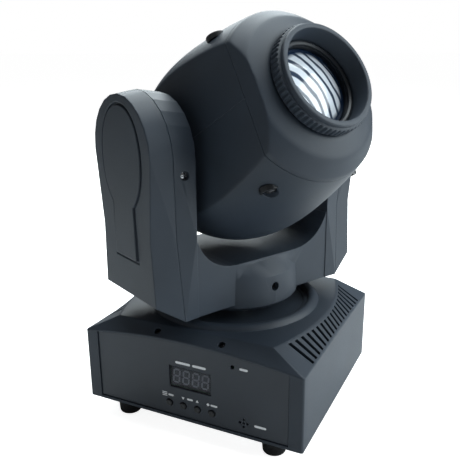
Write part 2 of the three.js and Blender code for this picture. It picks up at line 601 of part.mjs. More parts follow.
function fanFrame() {
  const frame = between(-25, 25, 34, 44, -25, 25);
  const duct = rod('y', 23.6, 32, 46, { sides: 40 });
  const hub = rod('y', 9, 34, 36, { sides: 24 });
  const spokes = [0, 90, 180, 270].map((a) => {
    const [x, z] = [Math.cos(a * RAD) * 16, Math.sin(a * RAD) * 16];
    const wide = Math.abs(x) > 1;
    return wide ? box(16, 1.6, 2, x, 34.8, 0) : box(2, 1.6, 16, 0, 34.8, z);
  });
  return join(cut(frame, duct), hub, ...spokes);
}

function fanRotor() {
  const hub = rod('y', 9, 36.6, 43.6, { sides: 18 });
  const blades = Array.from({ length: 7 }, (_, i) => {
    const blade = new THREE.BoxGeometry(14.6, 0.9, 9).rotateX(0.6).translate(15.4, 40.1, 0);
    return solid(blade.rotateY((i * 2 * Math.PI) / 7));
  });
  return join(hub, ...blades);
}

function heatsink() {
  const plate = between(-27, 27, 8, 12, -27, 27);
  const fins = steps(-26, 26, 8).map((x) => between(x - 0.8, x + 0.8, 11.5, 33, -27, 27));
  return join(plate, ...fins);
}

function ledModule() {
  const board = rod('y', 15, 6, 7.7, { sides: 32 });
  const chip = between(-6, 6, 4.6, 6.4, -6, 6);
  return join(board, chip);
}

function condenserLens() {
  const rim = steps(0, 1, 4).map((t) => [11 * t, -9 - 5 * Math.sqrt(1 - 0.85 * t * t)]);
  return turned('y', [[0, -4], [11, -4], ...rim.reverse()], { sides: 18 });
}

// Aluminium plate across the head that holds the lens and both wheel motors; its wings carry the axles.
function opticalChassis() {
  const plate = cut(between(-42, 42, -5.2, -2.6, -45, 45), rod('y', 11.5, -8, 0, { sides: 18 }));
  const wings = [-1, 1].map((side) => box(1.7, 35.2, 32, side * 41.15, 12.4, 0));
  const holes = [-WHEEL.offset, WHEEL.offset].map((z) =>
    rod('y', 3.5, -8, 0, { sides: 12, at: [0, 0, z] }));
  const axleHole = rod('x', TILT.axle + GAP, -60, 60, { sides: 18 });
  return cut(join(plate, ...wings), ...holes, axleHole);
}

function lightWheel(s) {
  const disc = tube('y', WHEEL.radius, 1.8, -s - WHEEL.thick, -s, { sides: 24 });
  const hub = tube('y', 4, 1.8, -s - WHEEL.thick - 1.4, -s + 1.4, { sides: 10 });
  const windows = Array.from({ length: WHEEL.holes }, (_, i) => {
    const a = (i * 2 * Math.PI) / WHEEL.holes + Math.PI / 2;
    const reach = WHEEL.radius - WHEEL.hole - 1.4;
    const at = [reach * Math.cos(a), 0, reach * Math.sin(a)];
    return rod('y', WHEEL.hole, -s - 3, -s + 2, { sides: 8, at });
  });
  return join(cut(disc, ...windows), hub);
}

// Small round stepper; its shaft runs forwards through the chassis plate into a wheel.
function wheelMotor(shaftTo) {
  const body = rod('y', 9.5, -2.3, 3, { sides: 18 });
  const shaft = rod('y', 1.5, -shaftTo, -2, { sides: 10 });
  return join(body, shaft);
}

function focusRing() {
  const ring = turned('y', [[FOCUS.bore, -FOCUS.rear], [FOCUS.neck, -FOCUS.rear],
    [FOCUS.neck, -FOCUS.knurlFrom], [FOCUS.knurl, -FOCUS.knurlFrom],
    [FOCUS.knurl, -FOCUS.knurlTo], [FOCUS.rimRadius, -FOCUS.knurlTo - 0.6],
    [FOCUS.rimRadius, -FOCUS.rim + 0.6], [FOCUS.rimRadius - 0.6, -FOCUS.rim], [FOCUS.bore + 0.6, -FOCUS.rim],
    [FOCUS.bore, -FOCUS.rim + 0.6]], { sides: 40 });
  const middle = (FOCUS.knurlFrom + FOCUS.knurlTo) / 2;
  const grooves = Array.from({ length: 20 }, (_, i) => {
    const groove = new THREE.BoxGeometry(2, 5.6, 2).translate(FOCUS.knurl + 0.2, -middle, 0);
    return solid(groove.rotateY((i * 2 * Math.PI) / 20));
  });
  return cut(ring, ...grooves);
}

function lensCell() {
  const { cell, bore, rear, front, glassAt } = LENS;
  return turned('y', [[bore - 3, -rear], [cell, -rear], [cell, -front], [bore, -front], [bore, -glassAt + 1],
    [bore - 1.6, -glassAt + 1], [bore - 3, -glassAt + 4]], { sides: 32 });
}

function frontLens() {
  const { glass, glassAt } = LENS;
  const bulge = steps(0, 1, 4).map((t) => [glass * t, -glassAt - 2.2 - 3.6 * (1 - t * t)]);
  return turned('y', [[0, -glassAt + 0.6], [glass, -glassAt + 0.6], ...bulge.reverse()], { sides: 32 });
}

function tiltAxle(side) {
  const flange = side < 0 ? [-44.7, -42.3] : [42.3, 44.7];
  const [from, to] = side < 0 ? [-80, -43] : [43, 66];
  const shaft = tube('x', TILT.axle, TILT.bore, from, to, { sides: 18 });
  const plate = tube('x', 13, TILT.bore, ...flange, { sides: 18 });
  return join(shaft, plate);
}

function buildHead(head) {
  add(head, 'head_upper_shell', headShell(true), SHELL);
  add(head, 'head_lower_shell', headShell(false), SHELL);
  add(head, 'head_front_bezel', headBezel(), SHELL);
  add(head, 'head_rear_grille', rearGrille(), SHELL);
  add(head, 'fan_frame', fanFrame(), BUTTON_PLASTIC);
  add(head, 'fan_rotor', fanRotor(), BUTTON_PLASTIC);
  add(head, 'heatsink', heatsink(), ALUMINIUM);
  add(head, 'led_module', ledModule(), BRASS);
  add(head, 'condenser_lens', condenserLens(), GLASS);
  add(head, 'optical_chassis', opticalChassis(), ALUMINIUM);
  add(head, 'colour_wheel', lightWheel(WHEEL.colourAt), ALUMINIUM, [0, 0, -WHEEL.offset]);
  add(head, 'gobo_wheel', lightWheel(WHEEL.goboAt), ALUMINIUM, [0, 0, WHEEL.offset]);
  add(head, 'colour_motor', wheelMotor(WHEEL.colourAt + 3), MOTOR_BLACK, [0, 0, -WHEEL.offset]);
  add(head, 'gobo_motor', wheelMotor(WHEEL.goboAt + 3), MOTOR_BLACK, [0, 0, WHEEL.offset]);
  add(head, 'focus_ring', focusRing(), SHELL);
  add(head, 'lens_cell', lensCell(), BUTTON_PLASTIC);
  add(head, 'front_lens', frontLens(), GLASS);
  add(head, 'tilt_axle_left', tiltAxle(-1), STEEL);
  add(head, 'tilt_axle_right', tiltAxle(1), STEEL);
  const pulley = toothedPulley('x', TILT.pulley, TILT.axle + GAP, -80, -73.4, 1.2);
  add(head, 'tilt_pulley', pulley, ALUMINIUM);
}

// ---------------------------------------------------------------- assembly
const movingHead = new THREE.Group();
buildBase(movingHead);

const yoke = new THREE.Group();
yoke.rotation.z = PAN.rest * RAD;
movingHead.add(yoke);
buildYoke(yoke);

const head = new THREE.Group();
head.position.z = TILT.z;
head.rotation.x = -TILT.rest * RAD;
yoke.add(head);
buildHead(head);

export default movingHead;
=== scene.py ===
# %% [markdown]
# # A compact moving head spot light
# A moving head is a lamp that a lighting desk can aim. The base stands still, the yoke turns on it (pan),
# and the egg-shaped head swings between the arms of the yoke (tilt). The frame that is loaded here holds
# every part at its real size. This lesson gives the parts their finished surfaces and materials.

# %% Load the frame
import json

import bmesh
import bpy
import numpy as np
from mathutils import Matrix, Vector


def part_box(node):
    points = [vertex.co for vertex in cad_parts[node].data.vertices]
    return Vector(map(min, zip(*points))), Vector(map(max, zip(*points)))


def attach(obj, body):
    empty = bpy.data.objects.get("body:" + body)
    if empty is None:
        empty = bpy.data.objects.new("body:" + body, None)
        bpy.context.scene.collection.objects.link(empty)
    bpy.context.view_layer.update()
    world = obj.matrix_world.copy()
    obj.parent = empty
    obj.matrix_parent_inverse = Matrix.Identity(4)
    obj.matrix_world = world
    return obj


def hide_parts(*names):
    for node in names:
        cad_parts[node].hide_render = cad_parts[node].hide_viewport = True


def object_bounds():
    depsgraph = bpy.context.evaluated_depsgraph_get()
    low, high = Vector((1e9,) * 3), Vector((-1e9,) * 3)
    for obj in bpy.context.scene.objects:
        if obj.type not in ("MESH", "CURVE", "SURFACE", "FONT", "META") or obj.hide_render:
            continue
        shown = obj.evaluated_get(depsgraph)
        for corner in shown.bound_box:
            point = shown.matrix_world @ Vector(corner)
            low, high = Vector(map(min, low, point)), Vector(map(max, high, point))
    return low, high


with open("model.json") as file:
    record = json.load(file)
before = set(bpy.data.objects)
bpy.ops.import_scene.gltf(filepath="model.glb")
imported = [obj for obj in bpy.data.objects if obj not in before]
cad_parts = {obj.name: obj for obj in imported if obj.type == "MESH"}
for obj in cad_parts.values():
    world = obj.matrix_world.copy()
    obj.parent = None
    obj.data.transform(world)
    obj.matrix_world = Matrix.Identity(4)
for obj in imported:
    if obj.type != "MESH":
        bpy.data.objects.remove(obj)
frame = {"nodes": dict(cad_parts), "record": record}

cad_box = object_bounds()

# %% [markdown]
# ## Three sets of directions
# The base is square to X and Y. The yoke is turned on it, and the head is tilted in the yoke, so each has
# its own directions. They are read from the joints of the frame: the tilt axis gives the direction across
# the head, and the axis of the focus ring gives the direction that the light leaves in. Working in those
# directions keeps every shape below as simple as if the head pointed straight ahead.

# %% Directions of the yoke and the head
MM = 0.001
joints = {joint["name"]: joint for joint in frame["record"]["behaviour"]["joints"]}
pivot = np.array(joints["tilt"]["pos_m"]) / MM
across = -np.array(joints["tilt"]["axis"])
optic = np.array(joints["focus_ring"]["axis"])
upward = np.cross(optic, across)
vertical = np.array([0.0, 0.0, 1.0])
ahead = np.cross(vertical, across) * -1


def span(distances, direction):
    """Each distance times one unit direction."""
    return np.multiply.outer(np.asarray(distances, float), direction)


def in_head(side, along, above):
    """Place in the head: the tilt axis point plus three distances along the head's own directions."""
    return pivot + span(side, across) + span(along, optic) + span(above, upward)


def in_yoke(side, forward, height):
    """Place in the yoke: distances across and ahead from the pan axis, and a height."""
    return span(side, across) + span(forward, ahead) + span(height, vertical)


def corners(node):
    """Lowest and highest corner of a node, in millimetres."""
    low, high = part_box(node)
    return np.array(low) / MM, np.array(high) / MM


print("head points up by", round(float(np.degrees(np.arcsin(optic[2]))), 1), "degrees")

# %% [markdown]
# ## Camera
# A product picture of this kind is taken from a little above, to the front right, with a normal lens. The
# camera is placed before anything else, so that each new piece can be judged from the same place.

# %% Camera
CAMERA_AT = (0.18136, -0.37752, 0.23922)
CAMERA_RIGHT = np.array([0.899426, 0.436979, -0.009078])
CAMERA_VIEW = np.array([-0.420818, 0.860177, -0.288109])
SENSOR_WIDTH = 36.0
FOCAL_LENGTH = 47.98

camera_data = bpy.data.cameras.new("camera")
camera_data.sensor_width = SENSOR_WIDTH
camera_data.lens = FOCAL_LENGTH
camera_data.clip_start = 0.01
camera = bpy.data.objects.new("camera", camera_data)
bpy.context.scene.collection.objects.link(camera)
turn = np.eye(4)
turn[:3, 0] = CAMERA_RIGHT
turn[:3, 1] = np.cross(CAMERA_RIGHT, CAMERA_VIEW)
turn[:3, 2] = -CAMERA_VIEW
turn[:3, 3] = CAMERA_AT
camera.matrix_world = turn.T.tolist()
bpy.context.scene.camera = camera
bpy.context.scene.view_settings.view_transform = "Standard"
print("camera looks down by", round(float(np.degrees(np.arcsin(-CAMERA_VIEW[2]))), 1), "degrees")

# %% [markdown]
# ## Studio
# The lamp is dark, so its shape is told by where light slides along it: a broad lamp above, one at the right
# that catches the side of the base and the flanks of the arms, a low one behind that draws the upper edges,
# and a faint one in front. All four are slightly cool. The room adds little light, but the camera sees it
# white, and the far floor is lifted to white for the camera only, so that no horizon shows.

# %% Floor and lights
FLOOR_HALF, FLOOR_GLOW = 20.0, 0.88
floor_height = cad_box[0][2]


def softbox(name, place, aim, size, power, tint=(1.0, 1.0, 1.0)):
    """A square area lamp at a place, turned so that it shines at another place."""
    lamp = bpy.data.lights.new(name, "AREA")
    lamp.size = size
    lamp.energy = power
    lamp.color = tint
    holder = bpy.data.objects.new(name, lamp)
    bpy.context.scene.collection.objects.link(holder)
    back = np.array(place) - np.array(aim)
    back /= np.linalg.norm(back)
    right = np.cross(vertical, back)
    right /= np.linalg.norm(right)
    pose = np.eye(4)
    pose[:3, :3] = np.stack([right, np.cross(back, right), back], 1)
    pose[:3, 3] = place
    holder.matrix_world = pose.T.tolist()


COOL = (0.88, 0.97, 1.0)
softbox("lamp_above", (0.1, 0.3, 1.2), (0, 0, 0.1), 1.0, 15, COOL)
softbox("lamp_right", (1.1, 0.35, 0.6), (0, 0, 0.1), 1.0, 16, COOL)
softbox("lamp_back", (-0.5, 0.9, 0.9), (0, 0, 0.15), 0.8, 12, COOL)
softbox("lamp_front", (-0.5, -1.0, 0.7), (0, 0, 0.15), 0.8, 0.4, COOL)

floor_mesh = bpy.data.meshes.new("floor")
floor_mesh.from_pydata(
    [(x * FLOOR_HALF, y * FLOOR_HALF, floor_height) for x, y in ((-1, -1), (1, -1), (1, 1), (-1, 1))],
    [], [(0, 1, 2, 3)])
floor = bpy.data.objects.new("floor", floor_mesh)
bpy.context.scene.collection.objects.link(floor)

floor_paint = bpy.data.materials.new("floor_paint")
floor_paint.use_nodes = True
nodes = floor_paint.node_tree.nodes
links = floor_paint.node_tree.links
sheet = nodes["Principled BSDF"]
sheet.label = "Pale sheet"
sheet.inputs["Base Color"].default_value = (0.80, 0.80, 0.80, 1)
sheet.inputs["Roughness"].default_value = 0.9
sheet.inputs["Emission Color"].default_value = (1.0, 1.0, 1.0, 1)
ray = nodes.new("ShaderNodeLightPath")
ray.label = "Seen straight on"
ray.location = (-500, -200)
glow = nodes.new("ShaderNodeMath")
glow.label = "Far floor stays white"
glow.location = (-260, -200)
glow.operation = "MULTIPLY"
glow.inputs[1].default_value = FLOOR_GLOW
links.new(ray.outputs["Is Camera Ray"], glow.inputs[0])
links.new(glow.outputs["Value"], sheet.inputs["Emission Strength"])
floor_mesh.materials.append(floor_paint)

world = bpy.data.worlds.new("room")
bpy.context.scene.world = world
world.use_nodes = True
ROOM_LIGHT, BACKDROP_LIGHT = 0.14, 1.0
nodes = world.node_tree.nodes
links = world.node_tree.links
room = nodes["Background"]
room.label = "Light of the room"
room.inputs["Strength"].default_value = ROOM_LIGHT
backdrop = nodes.new("ShaderNodeBackground")
backdrop.label = "White paper behind"
backdrop.location = (-200, -160)
backdrop.inputs["Strength"].default_value = BACKDROP_LIGHT
for background in (room, backdrop):
    background.inputs["Color"].default_value = (1.0, 1.0, 1.0, 1)
ray = nodes.new("ShaderNodeLightPath")
ray.label = "Seen straight on"
ray.location = (-200, 300)
either = nodes.new("ShaderNodeMixShader")
either.label = "Paper or room"
either.location = (60, 0)
links.new(ray.outputs["Is Camera Ray"], either.inputs["Fac"])
links.new(room.outputs["Background"], either.inputs[1])
links.new(backdrop.outputs["Background"], either.inputs[2])
links.new(either.outputs["Shader"], nodes["World Output"].inputs["Surface"])
print("studio: 4 lamps")

# %% [markdown]
# ## Finish 1: textured moulded plastic
# The casings are injection moulded in a blue-grey plastic. The steel mould is etched, so the surface is
# covered in fine grains that blur its shine, and a part that is handled gets slightly paler and smoother
# along its edges. One function makes every moulded finish: a broad noise shifts the colour, a fine noise
# gives the grain, and the Bevel node gives a surface direction that is rounded over the edges. Where it
# differs from the true direction there is an edge, which is painted paler, and light follows it round the
# edge.
# The paler edge stands partly for that wear and partly for a painted highlight along the edge.

# %% Moulded plastic


def blank_material(name):
    """A new material with no nodes yet, its list of nodes and its list of links."""
    material = bpy.data.materials.new(name)
    material.use_nodes = True
    tree = material.node_tree
    tree.nodes.clear()
    return material, tree.nodes, tree.links


def moulded(name, colour, edge_wear_highlight_colour, roughness, grain_mm, grain_depth, edge_mm=0.8, specular=0.5):
    """Plastic or rubber: colour drift, etched grain, and edges painted paler, partly as wear and partly as a
    painted highlight.
    """
    material, nodes, links = blank_material(name)

    place = nodes.new("ShaderNodeTexCoord")
    place.label = "Place on the piece"
    place.location = (-1500, 100)

    drift_frame = nodes.new("NodeFrame")
    drift_frame.label = "Colour drift of the moulding"
    drift = nodes.new("ShaderNodeTexNoise")
    drift.label = "Flow marks"
    drift.location = (-1250, 400)
    drift.parent = drift_frame
    drift.inputs["Scale"].default_value = 22.0
    drift.inputs["Detail"].default_value = 5.0
    drift_range = nodes.new("ShaderNodeMapRange")
    drift_range.label = "Drift in brightness"
    drift_range.location = (-1030, 400)
    drift_range.parent = drift_frame
    drift_range.inputs["From Min"].default_value = 0.3
    drift_range.inputs["From Max"].default_value = 0.7
    drift_range.inputs["To Min"].default_value = 0.86
    drift_range.inputs["To Max"].default_value = 1.12
    drifted = nodes.new("ShaderNodeHueSaturation")
    drifted.label = "Plastic with drift"
    drifted.location = (-800, 400)
    drifted.parent = drift_frame
    drifted.inputs["Color"].default_value = (*colour, 1)

    # Painted highlight and wear: the edges get a paler colour, which stands partly for handling wear and
    # partly for light caught along the edge.
    edge_frame = nodes.new("NodeFrame")
    edge_frame.label = "Paler edges: wear and painted highlight"
    rounded = nodes.new("ShaderNodeBevel")
    rounded.label = "Rounded direction"
    rounded.location = (-1250, 80)
    rounded.parent = edge_frame
    rounded.samples = 4
    rounded.inputs["Radius"].default_value = edge_mm * MM
    surface = nodes.new("ShaderNodeNewGeometry")
    surface.label = "True direction"
    surface.location = (-1250, -80)
    surface.parent = edge_frame
    agree = nodes.new("ShaderNodeVectorMath")
    agree.label = "How far they agree"
    agree.location = (-1030, 40)
    agree.parent = edge_frame
    agree.operation = "DOT_PRODUCT"
    edge_range = nodes.new("ShaderNodeMapRange")
    edge_range.label = "Edge mask"
    edge_range.location = (-820, 40)
    edge_range.parent = edge_frame
    edge_range.inputs["From Min"].default_value = 0.99
    edge_range.inputs["From Max"].default_value = 0.86
    edge_range.inputs["To Min"].default_value = 0.0
    edge_range.inputs["To Max"].default_value = 0.7
    # Here the paler edge colour is mixed over the plastic: a painted edge highlight as well as wear.
    worn_and_highlit = nodes.new("ShaderNodeMix")
    worn_and_highlit.label = "Edge over plastic"
    worn_and_highlit.location = (-560, 280)
    worn_and_highlit.parent = edge_frame
    worn_and_highlit.data_type = "RGBA"
    worn_and_highlit.inputs["B"].default_value = (*edge_wear_highlight_colour, 1)

    grain_frame = nodes.new("NodeFrame")
    grain_frame.label = "Etched grain"
    grain = nodes.new("ShaderNodeTexNoise")
    grain.label = "Grain of the mould"
    grain.location = (-1250, -320)
    grain.parent = grain_frame
    grain.inputs["Scale"].default_value = 1.0 / (grain_mm * MM)
    grain.inputs["Detail"].default_value = 2.0
    shine = nodes.new("ShaderNodeMapRange")
    shine.label = "Roughness of the grain"
    shine.location = (-820, -260)
    shine.parent = grain_frame
    shine.inputs["To Min"].default_value = roughness - 0.08
    shine.inputs["To Max"].default_value = roughness + 0.08
    relief = nodes.new("ShaderNodeBump")
    relief.label = "Relief of the grain"
    relief.location = (-560, -380)
    relief.parent = grain_frame
    relief.inputs["Strength"].default_value = 0.35
    relief.inputs["Distance"].default_value = grain_depth * MM

    skin = nodes.new("ShaderNodeBsdfPrincipled")
    skin.label = "Moulded skin"
    skin.location = (-260, 100)
    skin.inputs["Specular IOR Level"].default_value = specular
    output = nodes.new("ShaderNodeOutputMaterial")
    output.label = "Finished plastic"
    output.location = (60, 100)

    links.new(place.outputs["Object"], drift.inputs["Vector"])
    links.new(drift.outputs["Fac"], drift_range.inputs["Value"])
    links.new(drift_range.outputs["Result"], drifted.inputs["Value"])
    links.new(rounded.outputs["Normal"], agree.inputs[0])
    links.new(surface.outputs["Normal"], agree.inputs[1])
    links.new(agree.outputs["Value"], edge_range.inputs["Value"])
    links.new(edge_range.outputs["Result"], worn_and_highlit.inputs["Factor"])
    links.new(drifted.outputs["Color"], worn_and_highlit.inputs["A"])
    links.new(place.outputs["Object"], grain.inputs["Vector"])
    links.new(grain.outputs["Fac"], shine.inputs["Value"])
    links.new(grain.outputs["Fac"], relief.inputs["Height"])
    links.new(rounded.outputs["Normal"], relief.inputs["Normal"])
    links.new(worn_and_highlit.outputs["Result"], skin.inputs["Base Color"])
    links.new(shine.outputs["Result"], skin.inputs["Roughness"])
    links.new(relief.outputs["Normal"], skin.inputs["Normal"])
    links.new(skin.outputs["BSDF"], output.inputs["Surface"])
    return material


housing = moulded("housing_plastic", (0.025, 0.034, 0.048), (0.055, 0.070, 0.092), 0.5, 0.45, 0.1, 0.8, 0.38)
panel_paint = moulded("panel_lacquer", (0.020, 0.027, 0.039), (0.045, 0.057, 0.076), 0.42, 0.3, 0.05)
black_plastic = moulded("black_plastic", (0.010, 0.011, 0.013), (0.03, 0.032, 0.036), 0.38, 0.4, 0.05, 0.3)
display_face = moulded("display_face", (0.090, 0.094, 0.100), (0.10, 0.104, 0.11), 0.6, 3.0, 0.0, 0.2, 0.2)
rubber = moulded("rubber", (0.012, 0.012, 0.013), (0.03, 0.03, 0.032), 0.75, 0.6, 0.15, 0.5, 0.3)
barrel_black = moulded("barrel_black", (0.010, 0.014, 0.021), (0.03, 0.037, 0.048), 0.35, 0.3, 0.04, 0.3)
print("moulded finishes: 6")

# %% [markdown]
# ## Finish 2: bare metal
# The deck, bearings and axles are zinc-plated steel, and the pulleys, spindle and chassis are turned or
# rolled aluminium. Both keep fine lines from the tool that made them. A noise stretched along one
# direction gives those lines, and a second one gives the cloudiness of plating.

# %% Metal


def bare_metal(name, colour, roughness, line_mm, line_stretch, cloud=0.12):
    """Metal with fine tool lines and a faint cloudiness in its shine."""
    material, nodes, links = blank_material(name)

    place = nodes.new("ShaderNodeTexCoord")
    place.label = "Place on the piece"
    place.location = (-1300, 0)

    line_frame = nodes.new("NodeFrame")
    line_frame.label = "Tool lines"
    stretch = nodes.new("ShaderNodeMapping")
    stretch.label = "Lines run one way"
    stretch.location = (-1080, -200)
    stretch.parent = line_frame
    stretch.inputs["Scale"].default_value = (1.0, 1.0, line_stretch)
    lines = nodes.new("ShaderNodeTexNoise")
    lines.label = "Fine lines"
    lines.location = (-860, -200)
    lines.parent = line_frame
    lines.inputs["Scale"].default_value = 1.0 / (line_mm * MM)
    relief = nodes.new("ShaderNodeBump")
    relief.label = "Depth of the lines"
    relief.location = (-560, -260)
    relief.parent = line_frame
    relief.inputs["Strength"].default_value = 0.25
    relief.inputs["Distance"].default_value = 0.03 * MM

    cloud_frame = nodes.new("NodeFrame")
    cloud_frame.label = "Cloudy plating"
    clouds = nodes.new("ShaderNodeTexNoise")
    clouds.label = "Clouds"
    clouds.location = (-860, 160)
    clouds.parent = cloud_frame
    clouds.inputs["Scale"].default_value = 90.0
    clouds.inputs["Detail"].default_value = 4.0
    shine = nodes.new("ShaderNodeMapRange")
    shine.label = "Shine of the clouds"
    shine.location = (-560, 160)
    shine.parent = cloud_frame
    shine.inputs["To Min"].default_value = roughness - cloud
    shine.inputs["To Max"].default_value = roughness + cloud
    tone = nodes.new("ShaderNodeMix")
    tone.label = "Tone of the clouds"
    tone.location = (-560, 400)
    tone.parent = cloud_frame
    tone.data_type = "RGBA"
    tone.inputs["A"].default_value = (*(0.85 * np.array(colour)), 1)
    tone.inputs["B"].default_value = (*colour, 1)

    skin = nodes.new("ShaderNodeBsdfPrincipled")
    skin.label = "Metal skin"
    skin.location = (-260, 60)
    skin.inputs["Metallic"].default_value = 1.0
    output = nodes.new("ShaderNodeOutputMaterial")
    output.label = "Finished metal"
    output.location = (60, 60)

    links.new(place.outputs["Object"], stretch.inputs["Vector"])
    links.new(stretch.outputs["Vector"], lines.inputs["Vector"])
    links.new(lines.outputs["Fac"], relief.inputs["Height"])
    links.new(place.outputs["Object"], clouds.inputs["Vector"])
    links.new(clouds.outputs["Fac"], shine.inputs["Value"])
    links.new(clouds.outputs["Fac"], tone.inputs["Factor"])
    links.new(tone.outputs["Result"], skin.inputs["Base Color"])
    links.new(shine.outputs["Result"], skin.inputs["Roughness"])
    links.new(relief.outputs["Normal"], skin.inputs["Normal"])
    links.new(skin.outputs["BSDF"], output.inputs["Surface"])
    return material


steel = bare_metal("zinc_plated_steel", (0.62, 0.63, 0.64), 0.34, 0.5, 0.06)
aluminium = bare_metal("turned_aluminium", (0.76, 0.77, 0.78), 0.3, 0.35, 0.1, 0.08)
screw_steel = bare_metal("screw_steel", (0.45, 0.46, 0.48), 0.28, 0.2, 1.0, 0.08)
motor_black = bare_metal("black_oxide", (0.06, 0.06, 0.065), 0.45, 0.6, 0.2)
copper_board = bare_metal("plated_led_board", (0.70, 0.55, 0.25), 0.3, 0.4, 1.0, 0.08)
print("metal finishes: 5")

# %% [markdown]
# ## Finish 3: solder mask
# A circuit board is green lacquer over copper tracks, so the tracks show as slightly raised paler bands.

# %% Circuit board
board, nodes, links = blank_material("solder_mask")
place = nodes.new("ShaderNodeTexCoord")
place.label = "Place on the board"
place.location = (-1100, 0)
tracks = nodes.new("ShaderNodeTexBrick")
tracks.label = "Copper tracks"
tracks.location = (-860, 0)
tracks.inputs["Scale"].default_value = 260.0
tracks.inputs["Mortar Size"].default_value = 0.06
tracks.inputs["Color1"].default_value = (0.010, 0.085, 0.035, 1)
tracks.inputs["Color2"].default_value = (0.014, 0.105, 0.045, 1)
tracks.inputs["Mortar"].default_value = (0.035, 0.19, 0.09, 1)
relief = nodes.new("ShaderNodeBump")
relief.label = "Tracks stand up"
relief.location = (-560, -200)
relief.inputs["Distance"].default_value = 0.05 * MM
skin = nodes.new("ShaderNodeBsdfPrincipled")
skin.label = "Lacquer"
skin.location = (-260, 0)
skin.inputs["Roughness"].default_value = 0.3
output = nodes.new("ShaderNodeOutputMaterial")
output.label = "Finished board"
output.location = (60, 0)
links.new(place.outputs["Object"], tracks.inputs["Vector"])
links.new(tracks.outputs["Color"], skin.inputs["Base Color"])
links.new(tracks.outputs["Fac"], relief.inputs["Height"])
links.new(relief.outputs["Normal"], skin.inputs["Normal"])
links.new(skin.outputs["BSDF"], output.inputs["Surface"])

# %% [markdown]
# ## Finish 4: clear covers
# The clear parts let light through: the tinted window of the display, and the glass of the condenser.
# A see-through shader mixed with a glossy one is used, because light then still reaches what is behind.

# %% Clear covers


def clear(name, tint, gloss_share, roughness, smudge_mm):
    """Clear plastic or glass: tinted see-through, with a glossy face that fine smudges blur."""
    material, nodes, links = blank_material(name)
    place = nodes.new("ShaderNodeTexCoord")
    place.label = "Place on the piece"
    place.location = (-1100, 0)
    smudge = nodes.new("ShaderNodeTexNoise")
    smudge.label = "Smudges"
    smudge.location = (-880, 0)
    smudge.inputs["Scale"].default_value = 1.0 / (smudge_mm * MM)
    haze = nodes.new("ShaderNodeMapRange")
    haze.label = "Blur of the smudges"
    haze.location = (-660, 0)
    haze.inputs["To Min"].default_value = roughness
    haze.inputs["To Max"].default_value = roughness * 2.5
    through = nodes.new("ShaderNodeBsdfTransparent")
    through.label = "Seen through"
    through.location = (-400, 160)
    through.inputs["Color"].default_value = (*tint, 1)
    face = nodes.new("ShaderNodeBsdfPrincipled")
    face.label = "Glossy face"
    face.location = (-400, 0)
    face.inputs["Base Color"].default_value = (*(0.12 * np.array(tint)), 1)
    face.inputs["Specular IOR Level"].default_value = 0.8
    mixed = nodes.new("ShaderNodeMixShader")
    mixed.label = "Share of the face"
    mixed.location = (-100, 60)
    mixed.inputs["Fac"].default_value = gloss_share
    output = nodes.new("ShaderNodeOutputMaterial")
    output.label = "Finished cover"
    output.location = (120, 60)
    links.new(place.outputs["Object"], smudge.inputs["Vector"])
    links.new(smudge.outputs["Fac"], haze.inputs["Value"])
    links.new(haze.outputs["Result"], face.inputs["Roughness"])
    links.new(through.outputs["BSDF"], mixed.inputs[1])
    links.new(face.outputs["BSDF"], mixed.inputs[2])
    links.new(mixed.outputs["Shader"], output.inputs["Surface"])
    return material


window_tint = clear("display_cover", (0.86, 0.87, 0.90), 0.14, 0.12, 4.0)
clear_glass = clear("clear_glass", (0.9, 0.95, 0.97), 0.3, 0.03, 6.0)

# %% [markdown]
# ## Finish 5: ink
# The marks on the panel are screen-printed in an off-white ink that is a little uneven. The unlit bars of
# the digits use the same finish in grey.

# %% Ink


def ink(name, colour, patch_mm):
    """Printed or lit mark: one colour whose density varies in small patches."""
    material, nodes, links = blank_material(name)
    place = nodes.new("ShaderNodeTexCoord")
    place.label = "Place on the print"
    place.location = (-900, 0)
    patch = nodes.new("ShaderNodeTexNoise")
    patch.label = "Uneven density"
    patch.location = (-680, 0)
    patch.inputs["Scale"].default_value = 1.0 / (patch_mm * MM)
    density = nodes.new("ShaderNodeMix")
    density.label = "Thin and thick ink"
    density.location = (-440, 0)
    density.data_type = "RGBA"
    density.inputs["A"].default_value = (*(0.7 * np.array(colour)), 1)
    density.inputs["B"].default_value = (*colour, 1)
    skin = nodes.new("ShaderNodeBsdfPrincipled")
    skin.label = "Dry ink"
    skin.location = (-200, 0)
    skin.inputs["Roughness"].default_value = 0.6
    output = nodes.new("ShaderNodeOutputMaterial")
    output.label = "Finished mark"
    output.location = (100, 0)
    links.new(place.outputs["Object"], patch.inputs["Vector"])
    links.new(patch.outputs["Fac"], density.inputs["Factor"])
    links.new(density.outputs["Result"], skin.inputs["Base Color"])
    links.new(skin.outputs["BSDF"], output.inputs["Surface"])
    return material


white_ink = ink("panel_ink", (0.95, 0.96, 0.98), 0.5)
segment_grey = ink("segment_grey", (0.42, 0.43, 0.46), 3.0)
print("board, clear covers and inks: 5")

# %% [markdown]
# ## Finish 6: the coated front lens
# The front lens is thick and curved and sits in front of bright optics. From outside it looks mostly white,
# crossed by dark curved streaks where the edges of the optics are bent through the glass, with a dark blue
# ring at its rim. The white and the streaks are painted into the colour of the glass: painted light of the
# optics, crossed by painted images of their edges. The lens carries its own map, from -1 to 1 across the
# glass. Rings round a point outside the glass give the streaks, and the distance from the middle gives the
# rim.

# %% Coated lens
# This material paints light into the colour of the glass: the white is painted light of the optics behind it.
lens_painted_light, nodes, links = blank_material("lens_with_painted_light")

glass_map = nodes.new("ShaderNodeUVMap")
glass_map.label = "Map of the glass"
glass_map.location = (-1700, 0)
glass_map.uv_map = "glass"

